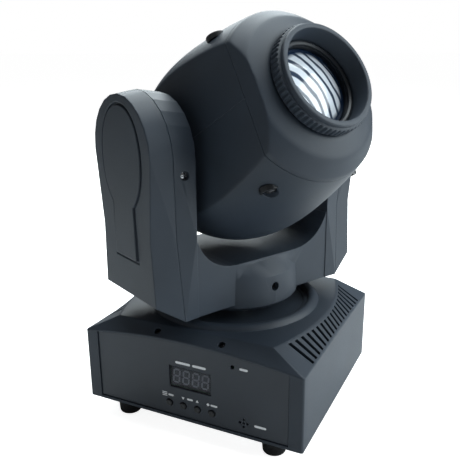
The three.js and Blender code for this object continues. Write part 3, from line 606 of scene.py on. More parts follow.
streak_frame = nodes.new("NodeFrame")
streak_frame.label = "Curved streaks"
streak_centre = nodes.new("ShaderNodeMapping")
streak_centre.label = "Centre outside the glass"
streak_centre.location = (-1480, 300)
streak_centre.parent = streak_frame
streak_centre.inputs["Location"].default_value = (1.15, 0.75, 0.0)
streak_centre.inputs["Scale"].default_value = (1.0, 0.8, 1.0)
streaks = nodes.new("ShaderNodeTexWave")
streaks.label = "Painted rings for the edges of the optics"
streaks.location = (-1260, 300)
streaks.parent = streak_frame
streaks.wave_type = "RINGS"
streaks.rings_direction = "Z"
streaks.inputs["Scale"].default_value = 1.3
streaks.inputs["Distortion"].default_value = 3.6
streaks.inputs["Detail"].default_value = 2.4
streaks.inputs["Detail Scale"].default_value = 0.9
# Painted light: the dark lines are painted images of the edges of the optics, and the pale colour between
# them is their painted glow.
streak_line = nodes.new("ShaderNodeValToRGB")
streak_line.label = "Thin dark lines on white"
streak_line.location = (-1040, 300)
streak_line.parent = streak_frame
streak_line.color_ramp.elements[0].position = 0.16
streak_line.color_ramp.elements[0].color = (0.035, 0.055, 0.095, 1)
streak_line.color_ramp.elements[1].position = 0.42
streak_line.color_ramp.elements[1].color = (0.82, 0.87, 0.94, 1)

rim_frame = nodes.new("NodeFrame")
rim_frame.label = "Dark blue rim"
from_middle = nodes.new("ShaderNodeVectorMath")
from_middle.label = "Distance from the middle"
from_middle.location = (-1260, -100)
from_middle.parent = rim_frame
from_middle.operation = "LENGTH"
rim_band = nodes.new("ShaderNodeMapRange")
rim_band.label = "Rim of the glass"
rim_band.location = (-1040, -100)
rim_band.parent = rim_frame
rim_band.inputs["From Min"].default_value = 0.80
rim_band.inputs["From Max"].default_value = 0.90
rimmed = nodes.new("ShaderNodeMix")
rimmed.label = "Rim over streaks"
rimmed.location = (-740, 160)
rimmed.parent = rim_frame
rimmed.data_type = "RGBA"
rimmed.inputs["B"].default_value = (0.008, 0.024, 0.060, 1)

skin = nodes.new("ShaderNodeBsdfPrincipled")
skin.label = "Polished glass"
skin.location = (-420, 100)
skin.inputs["Roughness"].default_value = 0.12
skin.inputs["Specular IOR Level"].default_value = 0.4
skin.inputs["Coat Weight"].default_value = 0.4
skin.inputs["Coat Roughness"].default_value = 0.02
output = nodes.new("ShaderNodeOutputMaterial")
output.label = "Finished lens"
output.location = (-100, 100)
links.new(glass_map.outputs["UV"], streak_centre.inputs["Vector"])
links.new(streak_centre.outputs["Vector"], streaks.inputs["Vector"])
links.new(streaks.outputs["Fac"], streak_line.inputs["Fac"])
links.new(glass_map.outputs["UV"], from_middle.inputs[0])
links.new(from_middle.outputs["Value"], rim_band.inputs["Value"])
links.new(rim_band.outputs["Result"], rimmed.inputs["Factor"])
links.new(streak_line.outputs["Color"], rimmed.inputs["A"])
links.new(rimmed.outputs["Result"], skin.inputs["Base Color"])
links.new(skin.outputs["BSDF"], output.inputs["Surface"])
print("lens painted light ready")

# %% [markdown]
# ## How a surface is made
# Each new part is a surface over a grid: a formula gives a point for every row and column, worked out for
# the whole grid at once, and neighbouring points are joined by four-cornered faces. Poles and seams are
# closed by merging points that fall together. Solidify gives a shell its wall, and its result is written into
# the mesh, so that the edges that turn sharply can be marked. The grids round their own creases, and Bevel
# rounds the edges of copied parts, because an edge with no radius never catches the light.

# %% Surface helpers
SHARP_FROM, STEEP = 34.0, 0.9


def grid_quads(rows, columns, around=False, keep=None):
    """Faces of a grid. Each joins a point, the next in its row, and the two points of the row after."""
    row, column = np.mgrid[0:rows - 1, 0:columns if around else columns - 1]
    after = (column + 1) % columns
    first, second = row * columns, (row + 1) * columns
    quads = np.stack([first + column, first + after, second + after, second + column], -1)
    return (quads if keep is None else quads[keep]).reshape(-1, 4)


def mend(mesh, flip=True):
    """Merge points that fall together, drop empty faces, and point the faces of a closed shape outwards."""
    work = bmesh.new()
    work.from_mesh(mesh)
    bmesh.ops.remove_doubles(work, verts=work.verts, dist=2e-6)
    bmesh.ops.dissolve_degenerate(work, edges=work.edges, dist=1e-6)
    if flip:
        bmesh.ops.recalc_face_normals(work, faces=work.faces)
    for face in work.faces:
        face.smooth = True
    work.to_mesh(mesh)
    work.free()
    mesh.set_sharp_from_angle(angle=np.radians(SHARP_FROM))


def settle(name, mesh, material, body, nodes=()):
    """Put a mesh in the scene as a piece: its finish, the body it rides on, and the nodes it stands for."""
    piece = bpy.data.objects.new(name, mesh)
    bpy.context.scene.collection.objects.link(piece)
    mesh.materials.clear()
    mesh.materials.append(material)
    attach(piece, body)
    if nodes:
        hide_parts(*nodes)
    print(name, "-", len(mesh.polygons), "faces")
    return piece


def surface(name, points, quads, material, body, slot, nodes=(), flip=True):
    """A piece from a grid of points in millimetres and its faces."""
    mesh = bpy.data.meshes.new(name)
    mesh.from_pydata((np.reshape(points, (-1, 3)) * MM).tolist(), [], quads.tolist())
    mend(mesh, flip)
    return settle(name, mesh, material, body, nodes)


def bake(piece):
    """Write what the modifiers give into the mesh, and mark the edges that turn sharply."""
    bpy.context.view_layer.update()
    baked = bpy.data.meshes.new_from_object(piece.evaluated_get(bpy.context.evaluated_depsgraph_get()))
    piece.modifiers.clear()
    piece.data = baked
    baked.set_sharp_from_angle(angle=np.radians(SHARP_FROM))


def wall(piece, thickness):
    """Give an open shell its wall, inwards from the outer face."""
    solidify = piece.modifiers.new("wall", "SOLIDIFY")
    solidify.thickness = thickness * MM
    solidify.offset = -1.0
    bake(piece)


def round_edges(piece, width, segments=2, sharper_than=32.0):
    """Round each edge that turns by more than an angle, and keep the flat faces flat in the light."""
    if width:
        bevel = piece.modifiers.new("rounded edges", "BEVEL")
        bevel.width = width * MM
        bevel.segments = segments
        bevel.limit_method = "ANGLE"
        bevel.angle_limit = np.radians(sharper_than)
        bevel.use_clamp_overlap = False
        bevel.loop_slide = False
    flat = piece.modifiers.new("flat faces", "WEIGHTED_NORMAL")
    flat.keep_sharp = True


def turned(profile, place, sides):
    """Profile of (along, radius) pairs carried once round an axis: along stays, radius turns by the angle.

    place gives the point for two distances across the axis and one along it.
    """
    along, radius = np.array(profile, float).T
    angle = np.linspace(0, 2 * np.pi, sides, endpoint=False)
    return place(np.outer(radius, np.cos(angle)), np.outer(radius, np.sin(angle)), along[:, None])


def turned_piece(name, profile, place, sides, material, body, slot, nodes):
    """A piece from one profile carried once round an axis."""
    points = turned(profile, place, sides)
    return surface(name, points, grid_quads(*points.shape[:2], around=True), material, body, slot, nodes)


def beside(direction):
    """Two unit directions, square to a direction and to each other."""
    first = np.cross(direction, vertical if abs(direction[2]) < STEEP else across)
    first /= np.linalg.norm(first)
    return first, np.cross(direction, first)


def rounded(node, width, material, body, slot, segments=2, sharper_than=32.0):
    """A finished copy of a node. A width makes its flat regions whole and rounds each sharp edge."""
    mesh = frame["nodes"][node].data.copy()
    work = bmesh.new()
    work.from_mesh(mesh)
    bmesh.ops.remove_doubles(work, verts=work.verts, dist=2e-6)
    if width:
        bmesh.ops.dissolve_limit(work, angle_limit=np.radians(0.6), verts=work.verts, edges=work.edges)
    for face in work.faces:
        face.smooth = True
    work.to_mesh(mesh)
    work.free()
    piece = settle(node + "_finished", mesh, material, body, (node,))
    mesh.set_sharp_from_angle(angle=np.radians(sharper_than))
    round_edges(piece, width, segments, sharper_than)
    return piece


# %% [markdown]
# ## Holes
# A screw sits at the bottom of a round hole. Each hole is cut with an exact boolean by a closed round bar,
# which is removed again as soon as the result is written into the mesh.

# %% Holes for screws


def drill(piece, holes):
    """Sink round holes into a piece. Each hole is a centre, a direction, a radius and half a length."""
    for centre, direction, radius, reach in holes:
        first, second = beside(direction)

        def round_hole(side, above, along):
            """Place round the middle line of the hole."""
            return centre + span(side, first) + span(above, second) + span(along + 0 * side, direction)

        points = turned(((-reach, 0), (-reach, radius), (reach, radius), (reach, 0)), round_hole, 40)
        mesh = bpy.data.meshes.new("hole")
        quads = grid_quads(*points.shape[:2], around=True)
        mesh.from_pydata((points.reshape(-1, 3) * MM).tolist(), [], quads.tolist())
        mend(mesh)
        cutter = bpy.data.objects.new("hole", mesh)
        bpy.context.scene.collection.objects.link(cutter)
        sink = piece.modifiers.new("hole", "BOOLEAN")
        sink.operation = "DIFFERENCE"
        sink.solver = "EXACT"
        sink.object = cutter
        bake(piece)
        bpy.data.objects.remove(cutter)


# %% [markdown]
# ## The base cover
# One moulding makes the four walls, the sloping sides and the roof. It could be cut from a block with many
# booleans, but its openings all follow its own lines, so a grid does it better: the columns go once round
# the base, the rows climb from the bottom edge to the middle of the roof, and the cells where the panels and
# the air slots are get no face. The front and rear edges of the wall rise in a shallow arch. The upright
# corners are quarter circles, and three rows in place of one round the rim and the edge of the roof.

# %% Base cover
half_width, half_depth = corners("base_cover")[1][:2]
RIM, ARCH, ROOF = 51.3, 6.5, 63.0
ROOF_DEPTH, ROOF_CORNER, ROOF_BULGE = 64.0, 56.6, 13.6
OPENING_HALF, OPENING_FLOOR, OPENING_DROP = 70.5, 2.0, 1.2
SLOT_COUNT, SLOT_PITCH, SLOT_WIDTH, SLOT_FIRST = 18, 6.2, 2.8, -52.7
SLOT_IN, SLOT_OUT, PLAIN_SHARE = 1.6, 1.2, 0.06
BASE_WALL, CORNER, CREASE, CREASE_SHARE = 2.6, 1.5, 1.1, 0.4
RING_PROFILE = ((61.0, 63.0), (60.2, 64.4), (58.9, 65.8), (57.6, 66.4), (55.4, 66.4), (54.2, 65.6),
                (53.6, 63.0), (53.2, 62.2), (50.5, 62.2), (49.8, 61.0), (21.4, 61.0))

slot_edges = SLOT_FIRST + SLOT_PITCH * np.arange(SLOT_COUNT)[:, None] + SLOT_WIDTH * np.array([-0.5, 0.5])
side_y = np.concatenate([[-ROOF_DEPTH], slot_edges.ravel(), [ROOF_DEPTH]])
front_x = np.linspace(-OPENING_HALF, OPENING_HALF, 33)


def arch(x):
    """Height of the front and rear rim: highest in the middle, falling with the square of x."""
    return RIM + ARCH * (1 - (x / half_width) ** 2)


def roof_half(y):
    """Half width of the flat roof: widest in the middle of the depth, falling with the square of y."""
    return ROOF_CORNER + ROOF_BULGE * (1 - np.minimum(np.abs(y) / ROOF_DEPTH, 1) ** 2)


def corner_arc(middle_x, middle_y, start):
    """A quarter circle round a point: the corner radius times cosine and sine of the angle."""
    turn = np.radians(start + np.linspace(0, 90, 6))
    return np.stack([middle_x + CORNER * np.cos(turn), middle_y + CORNER * np.sin(turn)], 1)


left_corner = corner_arc(CORNER - half_width, CORNER - half_depth, 180)
front = np.stack([front_x, -half_depth + 0 * front_x], 1)
right_corner = corner_arc(half_width - CORNER, CORNER - half_depth, 270)
right = np.stack([half_width + 0 * side_y, side_y], 1)
stretches = (left_corner, front, right_corner, right)
outline = np.concatenate([*stretches, *(-points for points in stretches)])
is_side = np.tile(np.repeat([True, False, True, True], [len(points) for points in stretches]), 2)
x, y = outline.T
roof_y = np.where(is_side, np.clip(y, -ROOF_DEPTH, ROOF_DEPTH), np.sign(y) * ROOF_DEPTH)
roof_x = np.where(is_side, np.sign(x) * roof_half(roof_y), x * ROOF_CORNER / half_width)
rim_z = np.where(is_side, RIM, arch(x))
roof_gap = np.maximum(half_width - roof_half(roof_y), 1)
slot_low = np.where(is_side, SLOT_OUT / roof_gap, PLAIN_SHARE)
slot_high = np.where(is_side, 1 - SLOT_IN / roof_gap, 1 - PLAIN_SHARE)


def on_slope(share):
    """Points a share of the way from the rim of the wall to the edge of the roof."""
    return np.stack([x + share * (roof_x - x), y + share * (roof_y - y), rim_z + share * (ROOF - rim_z)], 1)


def at_height(z):
    """Points of the wall at one height, or at one height for each column."""
    return np.stack([x, y, z + 0 * x], 1)


def crease(before, at, after):
    """Three rows in place of a sharp one: a step towards each neighbour, and the rounded middle."""
    back, on = before - at, after - at
    first = at + back * np.minimum(CREASE / np.linalg.norm(back, axis=1, keepdims=True), CREASE_SHARE)
    last = at + on * np.minimum(CREASE / np.linalg.norm(on, axis=1, keepdims=True), CREASE_SHARE)
    return [first, at / 2 + (first + last) / 4, last]


towards = np.stack([roof_x, roof_y], 1) / np.hypot(roof_x, roof_y)[:, None]
ring_rows = [np.column_stack([radius * towards, np.full(len(x), z)]) for radius, z in RING_PROFILE]
rim_rows = crease(at_height(rim_z - OPENING_DROP), at_height(rim_z), on_slope(slot_low))
roof_rows = crease(on_slope(slot_high), on_slope(1.0), ring_rows[0])
cover_rows = [at_height(0.0), at_height(OPENING_FLOOR), at_height(rim_z - OPENING_DROP), *rim_rows,
              on_slope(slot_low), on_slope(slot_high), *roof_rows, *ring_rows]
SLOT_ROW = 6
cover = np.stack(cover_rows)

next_x, next_y = np.roll(x, -1), np.roll(y, -1)
is_opening = ~is_side & (np.abs(x) <= OPENING_HALF + 0.1) & (np.abs(next_x) <= OPENING_HALF + 0.1)
is_slot = is_side & (np.abs(np.abs(next_y - y) - SLOT_WIDTH) < 0.01)
keep = np.ones((len(cover) - 1, len(x)), bool)
keep[1, is_opening] = False
keep[SLOT_ROW, is_slot] = False
base_cover = surface("base_cover_moulding", cover, grid_quads(len(cover), len(x), True, keep), housing,
                     "base", "housing", ("base_cover",), flip=False)
wall(base_cover, BASE_WALL)
LIP_SCREW_X, LIP_SCREW_IN, LIP_SCREW_Z = 23.5, 3.9, 59.9
LIP_SCREW_RADIUS, LIP_REACH, LIP_LEAN = 2.3, 4.0, np.radians(56.0)
lip_screws = [(np.array([sx * LIP_SCREW_X, sy * (half_depth - LIP_SCREW_IN), LIP_SCREW_Z]),
               np.array([0.0, sy * np.cos(LIP_LEAN), np.sin(LIP_LEAN)])) for sx in (-1, 1) for sy in (-1, 1)]
drill(base_cover, [(centre, way, LIP_SCREW_RADIUS, LIP_REACH) for centre, way in lip_screws])
print("air slots:", int(is_slot.sum()), "on two sides")

# %% [markdown]
# ## The head shells
# The head is a turned egg whose two flanks are cut flat, so that it fits between the arms. Its radius along
# the light's direction comes from a smooth curve through a few measured radii. Round the axis, the columns
# crowd towards the edge between the round part and the flank, and a soft minimum rounds that edge. The
# shell is moulded in two halves, above and below the axis.

# %% Egg with flat flanks
EGG_PLACES = (-64, -57, -50, -40, -30, -20, -10, 10, 30, 50, 64, 76)
EGG_RADII = (21, 32, 40, 49, 55.6, 60.4, 63.6, 65.7, 64.3, 61, 57.8, 54.6)
EGG_CURVE = np.polyfit(EGG_PLACES, np.square(EGG_RADII), 5)
FLANK, FLANK_TAPER, FLANK_FROM = 50.2, 0.11, 10.0
HEAD_REAR, HEAD_FRONT, HEAD_WALL = -46.0, 76.0, 2.8
SEAM_HALF = 0.05
EDGE_SOFT, NARROW_TURN, CROWDING = 0.35, 0.04, 1.6


def egg_radius(along):
    """Radius of the egg: the square root of a smooth curve in the distance along the light."""
    return np.sqrt(np.maximum(np.polyval(EGG_CURVE, along), 0))


def flank(along):
    """Distance from the axis to the flat flank, which closes in slowly towards the front."""
    return FLANK - FLANK_TAPER * (along - FLANK_FROM)


def flanked(along, radius, columns, start=0.0):
    """Half a turn of a radius, with its sides held at the flank.

    The angle runs from the side to the top in two stretches, which meet where the circle reaches the
    flank, and the columns crowd towards that edge. The distance across is a soft minimum of the circle
    and the flank, minus a width times the log of the sum of two exponentials, so the edge is rounded.
    """
    along, radius = along[:, None], radius[:, None]
    edge = np.maximum(np.arccos(np.clip(flank(along) / radius, 0, 1)), start + NARROW_TURN)
    low = 1 - (1 - np.linspace(0, 1, columns)) ** 2
    low_angle = start + (edge - start) * low[None, :]
    high = np.linspace(-1, 1, 4 * columns)[1:-1]
    crowded = np.sign(high) * (1 - (1 - np.abs(high)) ** CROWDING)
    top_angle = np.pi / 2 + (np.pi / 2 - edge) * crowded[None, :]
    angle = np.concatenate([low_angle, top_angle, (np.pi - low_angle)[:, ::-1]], 1)
    reach, limit = radius * np.abs(np.cos(angle)), flank(along)
    nearer = np.minimum(reach, limit)
    shares = np.exp((nearer - reach) / EDGE_SOFT) + np.exp((nearer - limit) / EDGE_SOFT)
    soft = nearer - EDGE_SOFT * np.log(shares)
    side = np.sign(np.cos(angle)) * np.maximum(soft, 0)
    return side, radius * np.sin(angle)


print("radius at the tilt axis:", round(float(egg_radius(0.0)), 1), "mm")

# %% [markdown]
# ## Two halves of the head
# Both halves come from the same grid, once with the height as it is and once mirrored. A hair of clearance is
# left at the joint, and each half has two screw holes near the front.

# %% Two shells
HEAD_SCREW, HEAD_SCREW_FLOOR, HEAD_SCREW_RADIUS = (32.2, 58.0), 48.4, 4.6
HOLE_HEIGHT, HOLE_REACH = 56.0, 9.0
shell_along = np.linspace(HEAD_REAR, HEAD_FRONT, 42)
for half_name, half_sign in (("head_upper_shell", 1), ("head_lower_shell", -1)):
    seam_angle = np.arcsin(SEAM_HALF / egg_radius(shell_along))[:, None]
    side, above = flanked(shell_along, egg_radius(shell_along), 9, seam_angle)
    points = in_head(side, shell_along[:, None] + 0 * side, half_sign * above)
    shell = surface(half_name + "_moulding", points, grid_quads(*side.shape), housing, "head", "housing",
                    (half_name,))
    wall(shell, HEAD_WALL)
    drill(shell, [(in_head(x, HEAD_SCREW[1], half_sign * HOLE_HEIGHT), half_sign * upward, HEAD_SCREW_RADIUS,
                   HOLE_REACH) for x in (-HEAD_SCREW[0], HEAD_SCREW[0])])

# %% [markdown]
# ## The front cap
# The cap closes the head round the lens. A short band carries on the line of the shell, then the cap slopes
# in to the focus ring. Its flanks are flat too, so it uses the same half turn, once for each half of
# each ring of the profile.

# %% Front cap
CAP_PROFILE = ((90.2, 31.2), (90.4, 34.2), (86.9, 44.6), (86.2, 45.8), (79.6, 53.0), (78.8, 53.7),
               (76.3, 54.5))
CAP_WALL = 2.8


def dense(profile, step):
    """Points along a profile no further apart than a step, with every corner kept."""
    profile = np.array(profile, float)
    lengths = np.hypot(*np.diff(profile, axis=0).T)
    counts = np.maximum(np.ceil(lengths / step).astype(int), 1)
    knots = np.concatenate([i + np.arange(n) / n for i, n in enumerate(counts)] + [[len(counts)]])
    return np.stack([np.interp(knots, np.arange(len(profile)), column) for column in profile.T], 1)


cap_along, cap_radius = dense(CAP_PROFILE, 2.5).T
side, above = flanked(cap_along, cap_radius, 9)
whole_side = np.concatenate([side, side[:, -2:0:-1]], 1)
whole_above = np.concatenate([above, -above[:, -2:0:-1]], 1)
points = in_head(whole_side, cap_along[:, None] + 0 * whole_side, whole_above)
cap = surface("head_front_cap", points, grid_quads(*whole_side.shape, around=True), housing, "head",
              "housing", ("head_front_bezel",))
wall(cap, CAP_WALL)

# %% [markdown]
# ## The focus ring
# The user turns this ring to sharpen the beam. It has a knurled band for the fingers and a plain lip in
# front. The band is one closed profile turned round the axis, whose radius is lowered in narrow grooves: the
# depth follows a cosine of the angle that is clipped, which gives flat ribs with sloping sides.

# %% Focus ring
RIBS, RIB_DEPTH = 64, 1.1
FOCUS_PROFILE = ((70.2, 28.3), (70.2, 30.5), (91.4, 30.5), (91.4, 32.9), (91.9, 33.5), (97.2, 33.5),
                 (97.8, 32.9), (98.2, 31.6), (98.9, 31.5), (99.6, 31.7), (100.5, 31.7), (101.0, 31.4),
                 (101.2, 30.9), (101.2, 29.2), (101.0, 28.7), (100.4, 28.3))
KNURL_FROM, KNURL_TO = 91.6, 97.6

focus_along, focus_radius = np.array(FOCUS_PROFILE).T
focus_angle = np.linspace(0, 2 * np.pi, RIBS * 6, endpoint=False)
groove = np.clip(1.6 * np.cos(RIBS * focus_angle), -1, 1) * 0.5 - 0.5
in_band = (focus_along > KNURL_FROM) & (focus_along < KNURL_TO)
radius = focus_radius[:, None] + RIB_DEPTH * np.outer(in_band, groove)
focus_forward = focus_along[:, None] + 0 * radius
points = in_head(radius * np.cos(focus_angle), focus_forward, radius * np.sin(focus_angle))
points = np.concatenate([points, points[:1]])
surface("focus_ring_knurled", points, grid_quads(*points.shape[:2], around=True), housing, "focus",
        "housing", ("focus_ring",))

# %% [markdown]
# ## The lens barrel and the front lens
# The barrel is matt black inside and stepped, so that stray light is caught. The lens is a turned body
# with a bulging front. The bulge falls with the square of the radius, which is close to a sphere for
# a shallow lens. Its map is the place across the glass, counted from -1 to 1.

# %% Lens barrel
BARREL_PROFILE = ((60, 22.4), (60, 27.7), (89, 27.7), (89, 26.6), (88.2, 25.5), (87.4, 25.5), (87.4, 26.0),
                  (86.6, 26.0), (86.6, 25.5), (83, 25.4), (81, 25.4), (81, 23.8), (78, 22.4))


def round_optic(side, above, along):
    """Place round the light's direction, for turned parts of the head."""
    return in_head(side, along + 0 * side, above)


turned_piece("lens_barrel", BARREL_PROFILE + BARREL_PROFILE[:1], round_optic, 96, barrel_black,
             "lens_carriage", "moulded_black", ("lens_cell",))

# %% [markdown]
# ## The glass
# The profile starts at the middle of the front, follows the bulge to the rim, and comes back across the flat
# rear. The map for the painted light of the glass is added after the points have been merged.

# %% Front lens
GLASS_RADIUS, GLASS_BACK, GLASS_EDGE, GLASS_BULGE = 25.0, 81.5, 84.2, 3.5
share = np.linspace(0, 1, 16)
glass_profile = [(GLASS_EDGE + GLASS_BULGE * (1 - t * t), GLASS_RADIUS * t) for t in share]
glass_profile += [(GLASS_BACK + 0.3, GLASS_RADIUS), (GLASS_BACK, GLASS_RADIUS - 0.3), (GLASS_BACK, 0)]
lens = turned_piece("front_lens_glass", glass_profile, round_optic, 96, lens_painted_light, "lens_carriage",
                    "lens_glass", ("front_lens",))
spots = np.zeros(len(lens.data.vertices) * 3)
lens.data.vertices.foreach_get("co", spots)
offset = spots.reshape(-1, 3) / MM - pivot
corner = np.zeros(len(lens.data.loops), int)
lens.data.loops.foreach_get("vertex_index", corner)
glass_uv = np.stack([offset @ across, offset @ upward], 1)[corner] / GLASS_RADIUS
lens.data.uv_layers.new(name="glass").data.foreach_set("uv", glass_uv.ravel())

# %% [markdown]
# ## The yoke and its covers
# The yoke is two hollow arms on a bridge, with a round hub under it, and a cover closes each arm. Their
# outlines are joined and pocketed in the frame, where they have to fit the motors and bearings, so these
# parts are copies of their nodes. The yoke keeps its edges as they are, and its finish softens them in the
# light. The covers get a narrow radius, and their rims are brought up to the arms, so that the joint hardly
# shows.

# %% Arms and their covers
ARM_LOW, ARM_HIGH, ARM_FLOOR, ARM_TOP = 67.0, 73.0, 74.5, 215.0
CLEARANCE, SEAM_LEFT = 0.3, 0.04


def close_seam(piece):
    """Bring the rim of a cover towards the arm it closes, until only a hair of the clearance is left.

    The rim is every point nearer to the middle than a slanted line, which follows the joint of the arm.
    """
    spots = np.zeros(len(piece.data.vertices) * 3)
    piece.data.vertices.foreach_get("co", spots)
    spots = spots.reshape(-1, 3) / MM
    side = (spots - pivot) @ across
    joint = ARM_LOW + (ARM_HIGH - ARM_LOW) * (spots[:, 2] - ARM_FLOOR) / (ARM_TOP - ARM_FLOOR)
    on_rim = np.abs(np.abs(side) - joint - CLEARANCE) < 0.05
    spots -= np.outer(np.sign(side) * on_rim * (CLEARANCE - SEAM_LEFT), across)
    piece.data.vertices.foreach_set("co", (spots * MM).ravel())
    print(piece.name, "rim points moved:", int(on_rim.sum()))


rounded("yoke_frame", 0.0, housing, "yoke", "housing", sharper_than=19)
for cover in ("arm_cover_left", "arm_cover_right"):
    close_seam(rounded(cover, 0.5, housing, "yoke", "housing", segments=3, sharper_than=24))

# %% [markdown]
# ## Panels, sockets and motors
# The flat shapes of these parts are already true. What a mould or a press adds is a radius on every edge, so
# each is a copy of its node with its edges rounded.

# %% Parts that only need their edges rounded
for node, width, material, body, slot in (
        ("head_rear_grille", 0.5, housing, "head", "housing"),
        ("control_panel", 0.2, panel_paint, "base", "panel"),
        ("rear_panel", 0.2, panel_paint, "base", "panel"),
        ("display_window", 0.25, window_tint, "base", "display_cover"),
        ("display_module", 0.2, display_face, "base", "moulded_black"),
        ("power_inlet", 0.3, black_plastic, "base", "moulded_black"),
        ("fuse_drawer", 0.3, black_plastic, "base", "moulded_black"),
        ("signal_input", 0.3, black_plastic, "base", "moulded_black"),
        ("signal_output", 0.3, black_plastic, "base", "moulded_black"),
        ("power_supply", 0.3, aluminium, "base", "aluminium"),
        ("pan_motor", 0.4, motor_black, "base", "motor_black"),
        ("tilt_motor", 0.4, motor_black, "yoke", "motor_black")):
    rounded(node, width, material, body, slot)

# %% [markdown]
# ## Feet and buttons
# Four rubber feet and four buttons are turned shapes, so each is one profile and a place. The foot flares
# to its root and has a shallow cup under it, where its screw sits. A button has a domed, slightly dished
# cap, and the wide flange behind the panel keeps it from falling out.

# %% Feet
FOOT_PROFILE = ((0.0, 0.0), (1.4, 0.0), (1.4, 3.2), (0.2, 3.6), (0.0, 4.4), (0.0, 6.6), (0.3, 7.2),
                (1.0, 7.6), (11.4, 8.5), (12.4, 8.4), (13.3, 7.9), (13.3, 0.0))
for foot in ("front_left", "front_right", "rear_left", "rear_right"):
    low, high = corners("foot_" + foot)
    middle = (low + high) / 2
    stretch = (high[2] - low[2]) / FOOT_PROFILE[-1][0]

    def under_base(east, north, rise):
        """Place under the base, round the middle of this foot."""
        return np.stack(np.broadcast_arrays(middle[0] + east, middle[1] + north, low[2] + stretch * rise), -1)

    turned_piece("rubber_foot_" + foot, FOOT_PROFILE, under_base, 48, rubber, "base", "rubber",
                 ("foot_" + foot,))

# %% [markdown]
# ## The keys
# Each key is turned from one profile, and rides on its own body, so that it can be pressed.

# %% Buttons
BUTTON_PROFILE = ((0.35, 0.0), (0.25, 0.8), (0.0, 1.5), (0.1, 1.9), (0.5, 2.2), (3.5, 2.2), (3.5, 3.1),
                  (4.4, 3.1), (4.4, 0.0))
for button in ("menu", "down", "up", "enter"):
    low, high = corners("button_" + button)
    middle = (low + high) / 2

    def on_panel(east, rise, depth):
        """Place on the front panel, round the middle of this button."""
        return np.stack(np.broadcast_arrays(middle[0] + east, low[1] + depth, middle[2] + rise), -1)

    turned_piece("key_" + button, BUTTON_PROFILE, on_panel, 32, black_plastic, button + "_button",
                 "moulded_black", ("button_" + button,))

# %% [markdown]
# ## Flat marks
# Digits and printed marks are thin plates in the plane of the panel, made from lists of corners.

# %% Flat marks


def flat_marks(name, shapes, face_y, thickness, material):
    """Thin plates in the plane of the panel. Each shape is a list of (x, z) corners, in order."""
    points, faces = [], []
    for shape in shapes:
        faces.append(list(range(len(points), len(points) + len(shape))))
        points += [(px, face_y, pz) for px, pz in shape]
    mesh = bpy.data.meshes.new(name)
    mesh.from_pydata((np.array(points) * MM).tolist(), [], faces)
    work = bmesh.new()
    work.from_mesh(mesh)
    turned_over = [face for face in work.faces if face.normal.y > 0]
    bmesh.ops.reverse_faces(work, faces=turned_over)
    work.to_mesh(mesh)
    work.free()
    piece = settle(name, mesh, material, "base")
    wall(piece, thickness)
    return piece


def bar(left, right, middle_z, height, ends=6):
    """A bar with round ends: half a circle at each end, joined by straight sides."""
    turn = np.linspace(-np.pi / 2, np.pi / 2, ends)
    reach = height / 2
    east = np.stack([right - reach + reach * np.cos(turn), middle_z + reach * np.sin(turn)], 1)
    west = np.stack([left + reach - reach * np.cos(turn), middle_z - reach * np.sin(turn)], 1)
    return np.concatenate([east, west]).tolist()


def polygon(middle_x, middle_z, reach, sides, start):
    """A regular figure: its corners at equal angles, beginning at one."""
    turn = start + np.arange(sides) * 2 * np.pi / sides
    return np.stack([middle_x + reach * np.cos(turn), middle_z + reach * np.sin(turn)], 1).tolist()


# %% [markdown]
# ## The digits
# The display has four digits of seven bars each. The bars are six-sided, lean a little, and lie just behind
# the tinted window.

# %% Digits of the display
window_low, window_high = corners("display_window")
window_middle = (window_low + window_high) / 2
DIGIT_PITCH, DIGIT_WIDTH, DIGIT_HEIGHT = 7.1, 4.3, 9.4
SEGMENT, SEGMENT_GAP, LEAN = 1.15, 0.22, 0.10
DIGITS_AHEAD, DIGITS_DEEP = 0.15, 0.1
SEGMENTS = ((0, 1, True), (0, 0, True), (0, -1, True), (-1, 0.5, False), (1, 0.5, False), (-1, -0.5, False),
            (1, -0.5, False))


def segment(digit_x, column, row, level):
    """One six-sided bar of a digit, shortened by a hair at each end, then leaned to the right."""
    length = (DIGIT_WIDTH if level else DIGIT_HEIGHT / 2) / 2 - SEGMENT_GAP
    half = SEGMENT / 2
    corner = np.array([[-length, 0], [-length + half, half], [length - half, half], [length, 0],
                       [length - half, -half], [-length + half, -half]])
    corner = corner if level else corner[:, ::-1]
    corner = corner + [column * DIGIT_WIDTH / 2, row * DIGIT_HEIGHT / 2]
    corner[:, 0] += LEAN * corner[:, 1] + digit_x
    return (corner + [window_middle[0], window_middle[2]]).tolist()


bars = [segment(DIGIT_PITCH * place, *part) for place in (-1.5, -0.5, 0.5, 1.5) for part in SEGMENTS]
module_low = corners("display_module")[0]
flat_marks("display_digits", bars, module_low[1] - DIGITS_AHEAD, DIGITS_DEEP, segment_grey)

# %% [markdown]
# ## The signs beside the keys
# The marks on the panel are plain signs of this design's own: lines for the menu, arrows for down and up,
# a diamond for enter, and bars beside the indicator and the microphone.

# %% Printed marks
panel_face = corners("control_panel")[0][1]
key_x = {key: float(np.mean([corners("button_" + key)[k][0] for k in (0, 1)])) for key in
         ("menu", "down", "up", "enter")}
keys = sorted(key_x.values())
MARK_Z, INK_THICKNESS = 16.4, 0.04
DISPLAY_BARS = ((-9.0, 2.2, 41.9, 1.7), (3.6, 13.6, 41.9, 1.7))
INDICATOR_BAR, MICROPHONE_BAR = (37.2, 43.0, 47.6, 1.6), (47.4, 55.6, 9.9, 1.6)
marks = [bar(keys[0] - 5.4, keys[0] - 1.6, MARK_Z + dz, 0.6) for dz in (-1.2, 0.0, 1.2)]
marks += [bar(keys[0] - 0.8, keys[0] + 3.4, MARK_Z, 1.4)]
marks += [polygon(keys[1], MARK_Z, 1.3, 3, -np.pi / 2), polygon(keys[2], MARK_Z, 1.3, 3, np.pi / 2)]
marks += [bar(keys[1] + 3.0, keys[1] + 7.4, MARK_Z, 1.4)]
